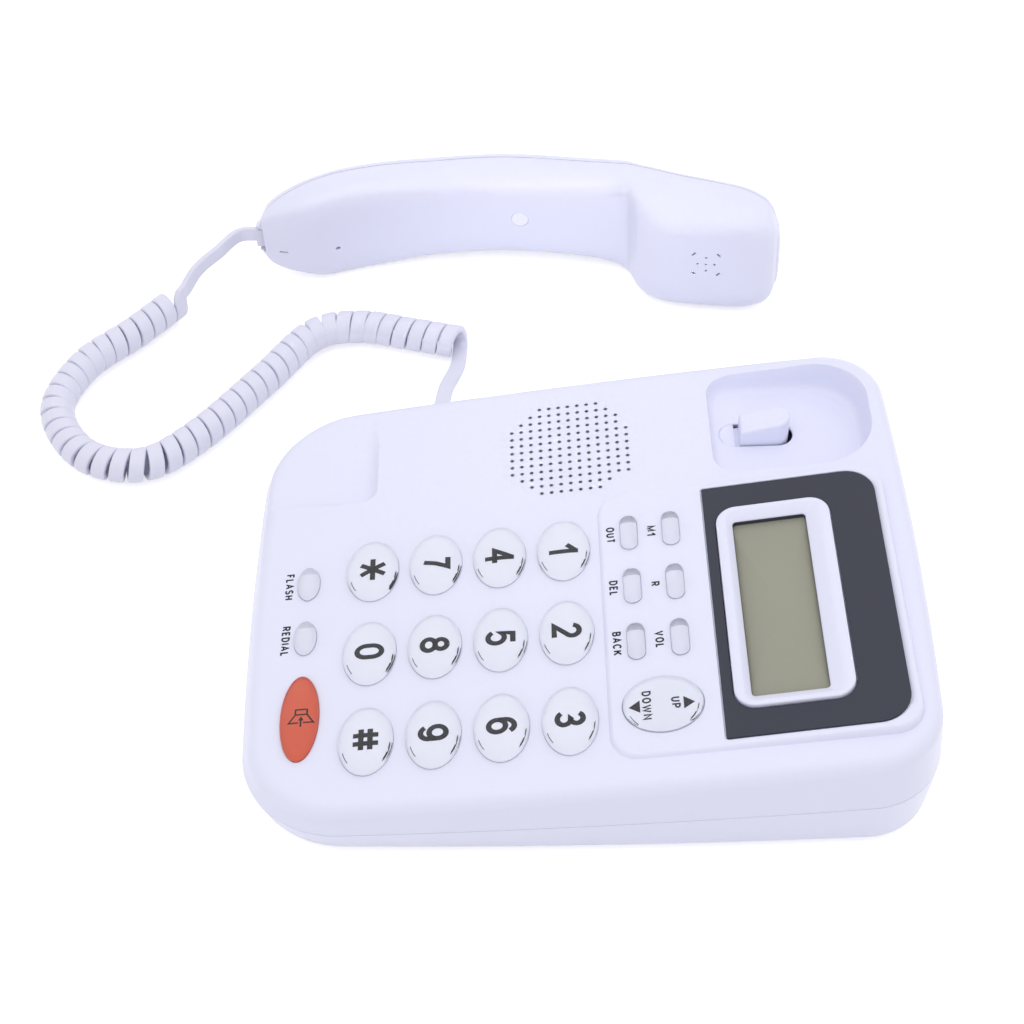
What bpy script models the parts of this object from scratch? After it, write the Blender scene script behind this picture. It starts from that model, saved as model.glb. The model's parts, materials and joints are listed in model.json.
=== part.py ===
"""Corded desk telephone with its handset lifted off and laid on its side beside the base.

Run it with blender --background --python part.py. Sizes are in millimetres and become metres where
a mesh is made. In the base's frame X is the user's right, Y runs from the dial keys to the display,
Z is up and the table is at zero.
"""

import math

import bmesh
import bpy
from mathutils import Matrix, Vector

MM = 0.001
GAP = 0.3  # clearance between neighbouring pieces
OVERRUN = 10.0  # how far a cutter reaches past what it cuts

# Base housing
BASE_WIDTH = 159.6
BASE_LENGTH = 196.2
BASE_Y = 0.6  # middle of the length
TOP_HEIGHT = 29.0  # keypad slope above the table at the middle of the base
SLOPE_DEG = 7.0
SEAM_HEIGHT = 15.4
SEAM_SLOPE_DEG = 3.4
FRONT_CORNER_RADIUS = 27.0
REAR_CORNER_RADIUS = 19.0
SIDE_BOW = 1.8
SIDE_FLARE = 1.2  # how much wider each side is at the rear than at the middle
END_BOW = 2.5
WALL = 2.4
WALL_DRAFT = 1.2
EDGE_RADIUS = 5.0
FLOOR_HEIGHT = 1.5  # underside of the bottom shell, which stands on its feet
FLOOR_EDGE_RADIUS = 3.0
FLOOR_INSET = 1.6
LIP_HEIGHT = 2.2
LIP_THICKNESS = 1.6

# Raised platform with the function keys and the display
PLATFORM_X = 21.0
PLATFORM_WIDTH = 95.6
PLATFORM_FRONT = 7.0
PLATFORM_REAR = 91.0
PLATFORM_LIFT = 1.2
PLATFORM_CORNER = 8.0
DISPLAY_FRONT = 38.0
DISPLAY_TILT_DEG = 1.5

# Display
OVERLAY_WIDTH = 90.2
OVERLAY_LENGTH = 49.3
OVERLAY_REAR_CORNER = 9.0
OVERLAY_FRONT_CORNER = 0.6
OVERLAY_THICKNESS = 0.6
OVERLAY_RECESS = 0.5
FRAME_WIDTH = 72.0
FRAME_LENGTH = 33.0
FRAME_CORNER = 6.0
FRAME_Y = 19.8  # middle of the window, behind the front edge of the display facet
FRAME_PROUD = 1.2
FRAME_FLANGE = 2.0
FRAME_DEPTH = 7.2
FRAME_SIDE = 4.4
FRAME_END = 5.85
WINDOW_WIDTH = FRAME_WIDTH - 2 * FRAME_SIDE
WINDOW_LENGTH = FRAME_LENGTH - 2 * FRAME_END
WINDOW_SHIFT = -1.2  # the window sits nearer the front of its frame
WINDOW_DEPTH = 2.2
WINDOW_SPLAY = 3.4
WINDOW_CORNER = 1.2
GLASS_MARGIN = 2.0
GLASS_THICKNESS = 2.0

# Keys, placed on the slope: x to the right, y up the slope
DIAL_NAMES = ("1", "2", "3", "4", "5", "6", "7", "8", "9", "star", "0", "hash")
DIAL_X = 23.7
DIAL_FIRST_ROW = -3.8
DIAL_PITCH_X = 30.7
DIAL_PITCH_Y = 19.0
DIAL_HALF = (11.4, 7.9)
DIAL_CROWN = 3.2
SMALL_KEY_ROW = -80.1
SMALL_KEY_HALF = (6.2, 3.5)
FLASH_X = -4.7
REDIAL_X = 15.7
SPEAKER_KEY_X = 44.3
SPEAKER_KEY_HALF = (14.7, 5.7)
FUNCTION_NAMES = (("out", "delete", "back"), ("memory", "recall", "volume"))
FUNCTION_X = 10.0
FUNCTION_PITCH_X = 20.2
FUNCTION_ROWS = (15.7, 28.0)
FUNCTION_HALF = (6.4, 2.6)
ROCKER_X = 52.6
ROCKER_Y = 21.9
ROCKER_HALF = (9.3, 11.2)
ROCKER_CLEARANCE = 0.8
ROCKER_PIVOT_DEPTH = 1.0
KEY_RIM = 0.6
KEY_CROWN = 2.0
KEY_FLANGE = 1.0
KEY_FLANGE_THICKNESS = 1.2
KEY_TRAVEL = 1.2
KEY_CLEARANCE = 0.35
DOME_DEGREES = (32, 64)  # rings up a key's dome

# Layers below the keys
MAT_THICKNESS = 1.4
MAT_LEFT = -20.0
MAT_RIGHT = 68.0
MAT_FRONT = -88.0
MAT_REAR = 36.0
MAT_FRONT_CORNER = 16.0
BOARD_THICKNESS = 1.6
BOARD_MARGIN = 6.0
BOARD_REAR = 74.0
BOARD_BOSS_RADIUS = 2.0
BOARD_BOSSES = ((-23.2, -70.0), (-23.2, -34.0), (-21.4, 62.0), (64.8, 52.0))

# Loudspeaker and its grille
GRILLE_X = -48.8
GRILLE_Y = -0.8
SPEAKER_RADIUS = 21.5
SPEAKER_RIM = 2.0
SPEAKER_MAGNET_RADIUS = 11.0
SPEAKER_DEPTH = 12.0

# Handset cradles, with level floors
EAR_X = -51.5
EAR_Y = 66.0
EAR_WIDTH = 43.6
EAR_LENGTH = 49.8
EAR_FLOOR = 29.0
EAR_FRONT_CORNER = 9.0
EAR_REAR_CORNER = 17.0
MOUTH_LEFT = -70.0
MOUTH_RIGHT = -35.5
MOUTH_REAR = -60.0
MOUTH_FLOOR = 16.8
MOUTH_CORNER = 5.0
CRADLE_FILLET = 4.5
# (inset, rise) up the wall of each cradle, in shares of the fillet
EAR_WALL_STEPS = ((1.0, 0.0), (0.55, 0.2), (0.36, 0.58), (-0.13, 6.7))
MOUTH_WALL_STEPS = ((0.7, 0.0), (0.3, 0.2), (0.0, 0.62), (-0.27, 4.4))

# Hook lever, pivoted on a pin in front of the ear recess, with its tab up through a slot
HOOK_X = -52.0
HOOK_SLOT_FRONT = 45.4
HOOK_SLOT_LENGTH = 22.6
HOOK_SLOT_WIDTH = 9.6
HOOK_TAB_WIDTH = 8.6
HOOK_TAB_FRONT_GAP = 1.6
HOOK_TAB_REAR_GAP = 1.3
HOOK_PAD_LENGTH = 4.6
HOOK_PAD_DROP = 0.8
HOOK_LOW_RISE = 5.0
HOOK_HIGH_RISE = 8.6
HOOK_REACH = 18.0  # pivot to the front of the slot
HOOK_PIVOT_DROP = 5.2  # pivot below the floor of the ear recess
HOOK_ARM_WIDTH = 6.0
HOOK_ARM_HALF = 1.6
HOOK_HUB_RADIUS = 3.2
HOOK_PIN_RADIUS = 1.5
HOOK_LUG = 3.0
HOOK_TAB_ROOT = 2.2  # tab below the pivot's level
HOOK_SWITCH_SIZE = (6.0, 12.0, 7.0)

# Modular jacks and plugs
LINE_JACK_X = 30.0
LINE_JACK_SIZE = (12.0, 15.0, 10.0)
LINE_SOCKET = (9.7, 11.0, 6.9)
CORD_JACK_Y = -43.0
CORD_JACK_SIZE = (13.0, 10.4, 8.0)
PLUG_SIZE = (11.0, 7.2, 5.4)
PLUG_PROUD = 1.0
JACK_HEIGHT = FLOOR_HEIGHT + WALL + GAP

# Fasteners and feet
SCREW_PLACES = ((-62.0, -78.0), (66.0, -72.0), (-62.0, 79.0), (62.0, 79.0))
SCREW_HEAD_RADIUS = 3.0
SCREW_HEAD = 2.0
SCREW_RADIUS = 1.45
SCREW_LENGTH = 11.0
SCREW_POINT = 1.0
POST_RADIUS = 3.8
BOSS_RADIUS = 5.2
BOSS_HEIGHT = 5.0
FOOT_PLACES = ((-60.0, -56.0), (66.0, -52.0), (-64.0, 58.0), (66.0, 58.0))
FOOT_RADIUS = 6.0

# Handset, built along Y with its ear end at +Y and its inner face towards +X
HANDSET_PLACE = (-165.0, -15.5)
HANDSET_YAW_DEG = -4.3
HANDSET_TILT_DEG = 0.85  # it lies on the sides of its ear cup and its chin
HANDSET_LENGTH = 179.6
HANDSET_WALL = 2.2
HANDSET_STEP = 0.09
HANDSET_ROUNDNESS = 4.5
OUTER_POINTS = 20
INNER_POINTS = 12
HANDSET_BACK_SHELL = 5.0
# station along the length from -1 to 1, back, inner face, half width
HANDSET_PROFILE = (
    (-1.00, 2.5, 7.0, 6.0),
    (-0.965, -1.8, 8.5, 11.0),
    (-0.88, -6.9, 9.8, 14.8),
    (-0.78, -11.0, 9.6, 17.2),
    (-0.68, -14.0, 6.2, 18.2),
    (-0.58, -16.6, 3.2, 18.2),
    (-0.34, -21.8, -1.2, 16.8),
    (-0.06, -25.0, -3.0, 16.2),
    (0.28, -21.4, -0.9, 17.1),
    (0.39, -18.8, 0.9, 18.5),
    (0.43, -17.6, 3.6, 19.1),
    (0.475, -16.1, 12.8, 19.6),
    (0.53, -14.4, 18.2, 20.0),
    (0.62, -11.4, 21.0, 20.0),
    (0.86, -4.2, 22.6, 19.9),
    (0.95, 0.4, 21.2, 18.4),
    (0.985, 3.6, 19.2, 15.6),
    (1.00, 6.4, 16.4, 12.0),
)
RECEIVER_Y = 0.3563 * HANDSET_LENGTH
RECEIVER_RADIUS = 12.0
RECEIVER_DEPTH = 8.0
MICROPHONE_Y = -0.3563 * HANDSET_LENGTH
MICROPHONE_Z = -4.0
MICROPHONE_RADIUS = 4.85
MICROPHONE_DEPTH = 6.0
WEIGHT_Y = -0.189 * HANDSET_LENGTH
WEIGHT_SIZE = (5.0, 0.189 * HANDSET_LENGTH, 14.0)
CAP_Y = 0.0084 * HANDSET_LENGTH
CAP_RADIUS = 3.0
CAP_THICKNESS = 1.2
HANDSET_BOSS_RADIUS = 5.0
HANDSET_POST_RADIUS = 4.0
END_JACK_SIZE = (7.0, 11.0, 9.4)
END_JACK_X = 4.0
END_PLUG_SIZE = (5.0, 12.0, 7.0)

# Curly cord
CORD_RADIUS = 1.7
COIL_RADIUS = 4.5
COIL_LIFT = 0.3
COIL_TURNS = 44.36
COIL_POINTS_PER_TURN = 8
COIL_START_TURN = 0.75 - 0.5 / COIL_POINTS_PER_TURN  # the first chord is level, at the table
CORD_LEAD_STEP = 2.4
# middle of the coil from its base end to its handset end
COIL_ROUTE = (
    (-121.4, -36.0),
    (-126.0, -52.0),
    (-130.6, -70.0),
    (-127.0, -86.0),
    (-106.0, -101.5),
    (-81.0, -121.0),
    (-68.5, -138.0),
    (-73.6, -157.6),
    (-94.0, -169.4),
    (-115.5, -163.0),
    (-131.0, -148.0),
    (-145.0, -136.0),
)
BASE_LEAD_ROUTE = ((-92.0, -42.0, 4.8), (-104.0, -40.4, 2.4))
HANDSET_LEAD_ROUTE = ((-147.5, -131.0, 11.6), (-152.5, -127.0, 15.2), (-157.5, -120.0, 18.5))


def slope_height(y):
    """Height of the keypad slope at y."""
    return TOP_HEIGHT + y * math.tan(math.radians(SLOPE_DEG))


def seam_height(y):
    """Height of the joint between the two base shells at y."""
    return SEAM_HEIGHT + y * math.tan(math.radians(SEAM_SLOPE_DEG))


def clear_scene():
    for obj in list(bpy.data.objects):
        bpy.data.objects.remove(obj, do_unlink=True)


def new_collection(name):
    collection = bpy.data.collections.new(name)
    bpy.context.scene.collection.children.link(collection)
    return collection


def new_material(name, colour, roughness, metallic=0.0, transmission=0.0):
    material = bpy.data.materials.new(name)
    material.use_nodes = True
    shader = material.node_tree.nodes["Principled BSDF"]
    shader.inputs["Base Color"].default_value = (*colour, 1.0)
    shader.inputs["Roughness"].default_value = roughness
    shader.inputs["Metallic"].default_value = metallic
    shader.inputs["Transmission Weight"].default_value = transmission
    return material


def empty(name, parent, location=(0.0, 0.0, 0.0), turn=(0.0, 0.0, 0.0)):
    """An empty that carries a sub-assembly; location in millimetres, turn in degrees."""
    carrier = bpy.data.objects.new(name, None)
    carrier.location = Vector(location) * MM
    carrier.rotation_euler = [math.radians(angle) for angle in turn]
    carrier.parent = parent
    PARTS.objects.link(carrier)
    return carrier


def to_object(name, bm, parent, location=(0.0, 0.0, 0.0)):
    """Scale a mesh drawn in millimetres to metres and place it under its carrier."""
    bmesh.ops.recalc_face_normals(bm, faces=bm.faces[:])
    bmesh.ops.scale(bm, vec=(MM, MM, MM), verts=bm.verts[:])
    mesh = bpy.data.meshes.new(name)
    bm.to_mesh(mesh)
    bm.free()
    obj = bpy.data.objects.new(name, mesh)
    obj.parent = parent
    obj.location = Vector(location) * MM
    PARTS.objects.link(obj)
    return obj


def finish(obj, material):
    """Give a sub-part its own material."""
    obj.data.materials.clear()
    obj.data.materials.append(material)
    return obj


def boolean(target, tool, operation):
    """Cut with or join on a helper, which leaves the render."""
    modifier = target.modifiers.new(f"{operation.lower()} {tool.name}", "BOOLEAN")
    modifier.operation = operation
    modifier.solver = "EXACT"
    modifier.object = tool
    tool.hide_render = True
    tool.display_type = "WIRE"
    if tool.name not in CUTTERS.objects:
        PARTS.objects.unlink(tool)
        CUTTERS.objects.link(tool)


def cut(target, *tools):
    for tool in tools:
        boolean(target, tool, "DIFFERENCE")


def join(target, *tools):
    for tool in tools:
        boolean(target, tool, "UNION")


def ellipse(half_x, half_y, count=16):
    angles = [2 * math.pi * i / count for i in range(count)]
    return [(half_x * math.cos(angle), half_y * math.sin(angle)) for angle in angles]


def stadium(half_x, half_y, arc_steps=5):
    """Straight-sided oval along the longer of its two axes."""
    radius = min(half_x, half_y)
    reach_x, reach_y = half_x - radius, half_y - radius
    points = []
    for side in range(2):
        turn = (-0.5 if reach_x > 0 else 0.0) + side
        sign = 1 - 2 * side
        for step in range(arc_steps + 1):
            angle = math.pi * (turn + step / arc_steps)
            points.append(
                (sign * reach_x + radius * math.cos(angle), sign * reach_y + radius * math.sin(angle))
            )
    return points


def rounded_rectangle(half_x, half_y, front_radius, rear_radius, arc_steps=6, side_steps=1):
    """Outline from the rear right corner round to the left, with its own radius at each end."""
    points = []
    for quarter, (sign_x, sign_y) in enumerate(((1, 1), (-1, 1), (-1, -1), (1, -1))):
        radius = rear_radius if sign_y > 0 else front_radius
        centre = (sign_x * (half_x - radius), sign_y * (half_y - radius))
        for step in range(arc_steps + 1):
            angle = math.pi / 2 * (quarter + step / arc_steps)
            points.append((centre[0] + radius * math.cos(angle), centre[1] + radius * math.sin(angle)))
    if side_steps == 1:
        return points
    corner = arc_steps + 1
    filled = []
    for quarter in range(4):
        filled += points[quarter * corner : (quarter + 1) * corner]
        start = Vector(points[(quarter + 1) * corner - 1])
        end = Vector(points[(quarter + 1) * corner % len(points)])
        filled += [tuple(start.lerp(end, i / side_steps)) for i in range(1, side_steps)]
    return filled


def moved(outline, x, y):
    return [(x + px, y + py) for px, py in outline]


def loft(name, rings, parent, location=(0.0, 0.0, 0.0)):
    """Skin rings of equally many points and cap both ends."""
    bm = bmesh.new()
    loops = [[bm.verts.new(point) for point in ring] for ring in rings]
    count = len(rings[0])
    for low, high in zip(loops, loops[1:]):
        for i in range(count):
            bm.faces.new((low[i], low[(i + 1) % count], high[(i + 1) % count], high[i]))
    bm.faces.new(loops[0][::-1])
    bm.faces.new(loops[-1])
    return to_object(name, bm, parent, location)


def prisms(name, outlines, low, high, parent, location=(0.0, 0.0, 0.0)):
    """Flat outlines, each extruded from low to high along Z."""
    bm = bmesh.new()
    for outline in outlines:
        face = bm.faces.new([bm.verts.new((x, y, low)) for x, y in outline])
        extruded = bmesh.ops.extrude_face_region(bm, geom=[face])["geom"]
        raised = [item for item in extruded if isinstance(item, bmesh.types.BMVert)]
        bmesh.ops.translate(bm, verts=raised, vec=(0, 0, high - low))
    return to_object(name, bm, parent, location)


def side_prism(name, outline, low, high, parent, location=(0.0, 0.0, 0.0)):
    """An outline in the YZ plane, extruded from low to high along X."""
    bm = bmesh.new()
    face = bm.faces.new([bm.verts.new((low, y, z)) for y, z in outline])
    extruded = bmesh.ops.extrude_face_region(bm, geom=[face])["geom"]
    raised = [item for item in extruded if isinstance(item, bmesh.types.BMVert)]
    bmesh.ops.translate(bm, verts=raised, vec=(high - low, 0, 0))
    return to_object(name, bm, parent, location)


def box(name, low, high, parent, location=(0.0, 0.0, 0.0)):
    size = Vector(high) - Vector(low)
    bm = bmesh.new()
    bmesh.ops.create_cube(bm, size=1.0)
    bmesh.ops.scale(bm, vec=size, verts=bm.verts[:])
    bmesh.ops.translate(bm, vec=(Vector(low) + Vector(high)) / 2, verts=bm.verts[:])
    return to_object(name, bm, parent, location)


def cylinders(name, places, radius, low, high, parent, axis="Z", segments=20, location=(0.0, 0.0, 0.0)):
    """Cylinders of one size along an axis; each place holds the two other coordinates."""
    turns = {"X": Matrix.Rotation(math.pi / 2, 3, "Y"), "Z": Matrix.Identity(3)}
    bm = bmesh.new()
    for first, second in places:
        made = bmesh.ops.create_cone(
            bm, cap_ends=True, segments=segments, radius1=radius, radius2=radius, depth=high - low
        )["verts"]
        bmesh.ops.rotate(bm, verts=made, cent=(0, 0, 0), matrix=turns[axis])
        middle = (low + high) / 2
        centre = (middle, first, second) if axis == "X" else (first, second, middle)
        bmesh.ops.translate(bm, verts=made, vec=centre)
    return to_object(name, bm, parent, location)


def turned(name, profile, parent, location=(0.0, 0.0, 0.0), steps=20, turn=(0.0, 0.0, 0.0)):
    """A profile of (radius, height) points from axis to axis, spun about Z with a Screw modifier."""
    bm = bmesh.new()
    verts = [bm.verts.new((radius, 0.0, height)) for radius, height in profile]
    for start, end in zip(verts, verts[1:]):
        bm.edges.new((start, end))
    obj = to_object(name, bm, parent, location)
    obj.rotation_euler = [math.radians(angle) for angle in turn]
    screw = obj.modifiers.new("turn", "SCREW")
    screw.steps = steps
    screw.render_steps = steps
    screw.use_merge_vertices = True
    screw.merge_threshold = 0.00001
    screw.use_normal_calculate = True
    screw.use_normal_flip = True
    return obj


def housing_ring(inset, height):
    """Plan outline of the base drawn in by inset, at a height that depends on y."""
    half_x = BASE_WIDTH / 2 - SIDE_BOW - inset
    half_y = BASE_LENGTH / 2 - END_BOW - inset
    outline = rounded_rectangle(
        half_x, half_y, FRONT_CORNER_RADIUS - inset, REAR_CORNER_RADIUS - inset, 6, 3
    )
    ring = []
    for x, y in outline:
        along = y / half_y
        bowed_x = x * (1 + (SIDE_BOW * (1 - along**2) + SIDE_FLARE * along) / half_x)
        bowed_y = BASE_Y + y * (1 + END_BOW / half_y * (1 - (x / half_x) ** 2))
        ring.append((bowed_x, bowed_y, height(bowed_y)))
    return ring


def edge_steps(radius, count=4):
    """(inset, drop) pairs up a rounded top edge, from the wall to the top face."""
    angles = [math.pi / 2 * i / count for i in range(count + 1)]
    return [(radius * (1 - math.cos(angle)), radius * (1 - math.sin(angle))) for angle in angles]


def top_shell_rings(offset, foot):
    """Rings of the upper housing, drawn in all round by offset, from the height foot upwards."""
    rings = [housing_ring(offset, foot)]
    for inset, drop in edge_steps(EDGE_RADIUS - offset):
        rings.append(
            housing_ring(offset + WALL_DRAFT + inset, lambda y, d=drop: slope_height(y) - offset - d)
        )
    return rings


def ear_rings(offset):
    """Rings of the ear recess, swollen by offset, from its level floor up past the slope."""
    rings = []
    for inset_share, rise_share in EAR_WALL_STEPS:
        shrink = inset_share * CRADLE_FILLET - offset
        outline = rounded_rectangle(
            EAR_WIDTH / 2 - shrink,
            EAR_LENGTH / 2 - shrink,
            EAR_FRONT_CORNER - shrink,
            EAR_REAR_CORNER - shrink,
        )
        level = EAR_FLOOR + rise_share * CRADLE_FILLET - offset
        rings.append([(EAR_X + x, EAR_Y + y, level) for x, y in outline])
    return rings


def mouth_rings(offset):
    """Rings of the mouth cradle, open past the front of the base."""
    front = -BASE_LENGTH / 2 - 2 * WALL - CRADLE_FILLET
    centre = ((MOUTH_LEFT + MOUTH_RIGHT) / 2, (MOUTH_REAR + front) / 2)
    half = ((MOUTH_RIGHT - MOUTH_LEFT) / 2, (MOUTH_REAR - front) / 2)
    rings = []
    for inset_share, rise_share in MOUTH_WALL_STEPS:
        shrink = inset_share * CRADLE_FILLET - offset
        corner = MOUTH_CORNER - min(shrink, 0.8 * MOUTH_CORNER)
        outline = rounded_rectangle(half[0] - shrink, half[1] - shrink, corner, corner)
        level = MOUTH_FLOOR + rise_share * CRADLE_FILLET - offset
        rings.append([(centre[0] + x, centre[1] + y, level) for x, y in outline])
    return rings


def dial_places():
    """(name, x, y) of the twelve dial keys on the slope."""
    for index, name in enumerate(DIAL_NAMES):
        row, column = divmod(index, 3)
        yield name, DIAL_X + (column - 1) * DIAL_PITCH_X, DIAL_FIRST_ROW - row * DIAL_PITCH_Y


def function_places():
    """(name, x, y) of the six pill keys on the platform."""
    for names, y in zip(FUNCTION_NAMES, FUNCTION_ROWS):
        for column, name in enumerate(names):
            yield name, FUNCTION_X + (column - 1) * FUNCTION_PITCH_X, y


def key_openings():
    """Outlines of the holes in the top shell that the keys stand in."""
    more = KEY_CLEARANCE
    holes = [moved(ellipse(DIAL_HALF[0] + more, DIAL_HALF[1] + more), x, y) for _, x, y in dial_places()]
    for x in (FLASH_X, REDIAL_X):
        small = ellipse(SMALL_KEY_HALF[0] + more, SMALL_KEY_HALF[1] + more)
        holes.append(moved(small, x, SMALL_KEY_ROW))
    red = ellipse(SPEAKER_KEY_HALF[0] + more, SPEAKER_KEY_HALF[1] + more)
    holes.append(moved(red, SPEAKER_KEY_X, SMALL_KEY_ROW))
    pill = stadium(FUNCTION_HALF[0] + more, FUNCTION_HALF[1] + more)
    holes += [moved(pill, x, y) for _, x, y in function_places()]
    rocker = ellipse(ROCKER_HALF[0] + ROCKER_CLEARANCE, ROCKER_HALF[1] + ROCKER_CLEARANCE)
    holes.append(moved(rocker, ROCKER_X, ROCKER_Y))
    return holes


def make_key(name, shape, half, x, y, rim, crown, material):
    """A domed key on a flange that stops under the shell. Its origin is on its line of travel."""
    flange_top = -WALL - GAP
    flange_low = flange_top - KEY_FLANGE_THICKNESS
    levels = [(KEY_FLANGE, 1.0, flange_low), (KEY_FLANGE, 1.0, flange_top), (0.0, 1.0, flange_top)]
    levels.append((0.0, 1.0, rim))
    for angle in DOME_DEGREES:
        share = math.radians(angle)
        levels.append((0.0, math.cos(share), rim + (crown - rim) * math.sin(share)))
    rings = []
    for grow, share, z in levels:
        outline = shape((half[0] + grow) * share, (half[1] + grow) * share)
        rings.append([(px, py, z) for px, py in outline])
    return finish(loft(name, rings, PANEL, (x, y, 0.0)), material)


def make_keys():
    for name, x, y in dial_places():
        make_key(f"key_{name}", ellipse, DIAL_HALF, x, y, KEY_RIM, DIAL_CROWN, CLEAR)
    small = (ellipse, SMALL_KEY_HALF)
    make_key("flash_key", *small, FLASH_X, SMALL_KEY_ROW, KEY_RIM, KEY_CROWN, CLEAR)
    make_key("redial_key", *small, REDIAL_X, SMALL_KEY_ROW, KEY_RIM, KEY_CROWN, CLEAR)
    red = (ellipse, SPEAKER_KEY_HALF)
    make_key("speaker_key", *red, SPEAKER_KEY_X, SMALL_KEY_ROW, KEY_RIM, KEY_CROWN, RED)
    for name, x, y in function_places():
        rim = PLATFORM_LIFT + KEY_RIM
        make_key(f"{name}_key", stadium, FUNCTION_HALF, x, y, rim, rim + KEY_CROWN - KEY_RIM, CLEAR)
    make_rocker()


def make_rocker():
    """Up and down key, tilting on a stem that stands on the mat. Its origin is on its pivot."""
    pivot = -ROCKER_PIVOT_DEPTH
    rim = PLATFORM_LIFT + KEY_RIM - pivot
    crown = PLATFORM_LIFT + KEY_CROWN - pivot
    stem = mat_top() + GAP - pivot
    levels = [(0.22, stem), (0.22, -WALL + pivot / 2), (1.0, -WALL + pivot / 2), (1.0, rim)]
    for angle in DOME_DEGREES:
        share = math.radians(angle)
        levels.append((math.cos(share), rim + (crown - rim) * math.sin(share)))
    rings = []
    for share, z in levels:
        outline = ellipse(ROCKER_HALF[0] * share, ROCKER_HALF[1] * share)
        rings.append([(x, y, z) for x, y in outline])
    finish(loft("rocker_key", rings, PANEL, (ROCKER_X, ROCKER_Y, pivot)), CLEAR)


def mat_top():
    """Top of the keypad mat below the slope, clear of a pressed key's flange."""
    return -WALL - KEY_FLANGE_THICKNESS - KEY_TRAVEL - 2 * GAP


def board_top():
    return mat_top() - MAT_THICKNESS - GAP


def make_keypad_layers():
    """Rubber mat and main board, both passed by the front right screw post."""
    middle_x, half_x = (MAT_LEFT + MAT_RIGHT) / 2, (MAT_RIGHT - MAT_LEFT) / 2
    mat = rounded_rectangle(half_x, (MAT_REAR - MAT_FRONT) / 2, MAT_FRONT_CORNER, 4.0, 5)
    mat = moved(mat, middle_x, (MAT_FRONT + MAT_REAR) / 2)
    keypad = prisms("keypad_mat", [mat], mat_top() - MAT_THICKNESS, mat_top(), PANEL)
    left, right = MAT_LEFT - BOARD_MARGIN, MAT_RIGHT
    front, rear = MAT_FRONT, BOARD_REAR
    board = rounded_rectangle((right - left) / 2, (rear - front) / 2, MAT_FRONT_CORNER, 2.0, 5)
    board = moved(board, (left + right) / 2, (front + rear) / 2)
    main_board = prisms("main_board", [board], board_top() - BOARD_THICKNESS, board_top(), PANEL)
    passage = cylinders(
        "post_passage", [SCREW_PLACES[1]], POST_RADIUS + 2 * GAP, FLOOR_HEIGHT, TOP_HEIGHT, BASE
    )
    cut(keypad, passage)
    cut(main_board, passage)
    finish(keypad, GREY_RUBBER)
    finish(main_board, BOARD_GREEN)


def make_top_shell():
    """Upper housing: a rounded wedge with a platform, hollowed, with two cradles sunk into it."""
    shell = loft("base_top_shell", top_shell_rings(0.0, lambda y: seam_height(y) + GAP / 2), BASE)
    join(shell, make_platform())
    cavity = loft("top_cavity", top_shell_rings(WALL, lambda y: seam_height(y) - 4 * WALL), BASE)
    cut(cavity, loft("ear_wall", ear_rings(WALL), BASE), loft("mouth_wall", mouth_rings(WALL), BASE))
    cut(shell, cavity)
    cut(shell, loft("ear_recess", ear_rings(0.0), BASE), loft("mouth_cradle", mouth_rings(0.0), BASE))
    cut(shell, prisms("key_holes", key_openings(), -4 * WALL, 4 * WALL, PANEL))
    cut(shell, *display_cutters())
    join(shell, *top_shell_posts())
    cut(shell, *hook_cutters())
    low = FLOOR_HEIGHT + BOSS_HEIGHT - WALL
    cut(shell, cylinders("screw_pilots", SCREW_PLACES, SCREW_RADIUS + GAP, low, screw_top() + GAP, BASE))
    return finish(shell, WHITE)


def make_platform():
    """Raised pad: its front facet follows the slope and its display facet is tilted a little more."""
    length = PLATFORM_REAR - PLATFORM_FRONT
    outline = rounded_rectangle(PLATFORM_WIDTH / 2, length / 2, PLATFORM_CORNER, PLATFORM_CORNER)
    outline = moved(outline, PLATFORM_X, (PLATFORM_FRONT + PLATFORM_REAR) / 2)
    top = 2 * PLATFORM_LIFT + length * math.tan(math.radians(DISPLAY_TILT_DEG))
    pad = prisms("platform", [outline], -WALL / 2, top, PANEL)
    rear = PLATFORM_REAR + OVERRUN
    facets = [(PLATFORM_FRONT - OVERRUN, PLATFORM_LIFT), (DISPLAY_FRONT, PLATFORM_LIFT)]
    facets.append((rear, PLATFORM_LIFT + (rear - DISPLAY_FRONT) * math.tan(math.radians(DISPLAY_TILT_DEG))))
    facets += [(rear, 3 * top), (PLATFORM_FRONT - OVERRUN, 3 * top)]
    half = PLATFORM_WIDTH / 2 + OVERRUN
    cut(pad, side_prism("platform_facets", facets, PLATFORM_X - half, PLATFORM_X + half, PANEL))
    bevel = pad.modifiers.new("soft edges", "BEVEL")
    bevel.width = 0.7 * PLATFORM_LIFT * MM
    bevel.segments = 2
    bevel.limit_method = "ANGLE"
    bevel.angle_limit = math.radians(40)
    return pad


def display_cutters():
    """Recess for the overlay and the opening for the window frame."""
    overlay = overlay_outline(GAP)
    recess = prisms("overlay_recess", [overlay], -OVERLAY_RECESS, 4 * WALL, DISPLAY)
    opening = prisms("frame_opening", [frame_outline(GAP)], -4 * WALL, 4 * WALL, DISPLAY)
    return recess, opening


def overlay_outline(grow):
    half_x, half_y = OVERLAY_WIDTH / 2 + grow, OVERLAY_LENGTH / 2 + grow
    outline = rounded_rectangle(half_x, half_y, OVERLAY_FRONT_CORNER + grow, OVERLAY_REAR_CORNER + grow)
    return moved(outline, PLATFORM_X, OVERLAY_LENGTH / 2)


def frame_outline(grow):
    half_x, half_y = FRAME_WIDTH / 2 + grow, FRAME_LENGTH / 2 + grow
    corner = FRAME_CORNER + grow
    return moved(rounded_rectangle(half_x, half_y, corner, corner), PLATFORM_X, FRAME_Y)


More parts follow.
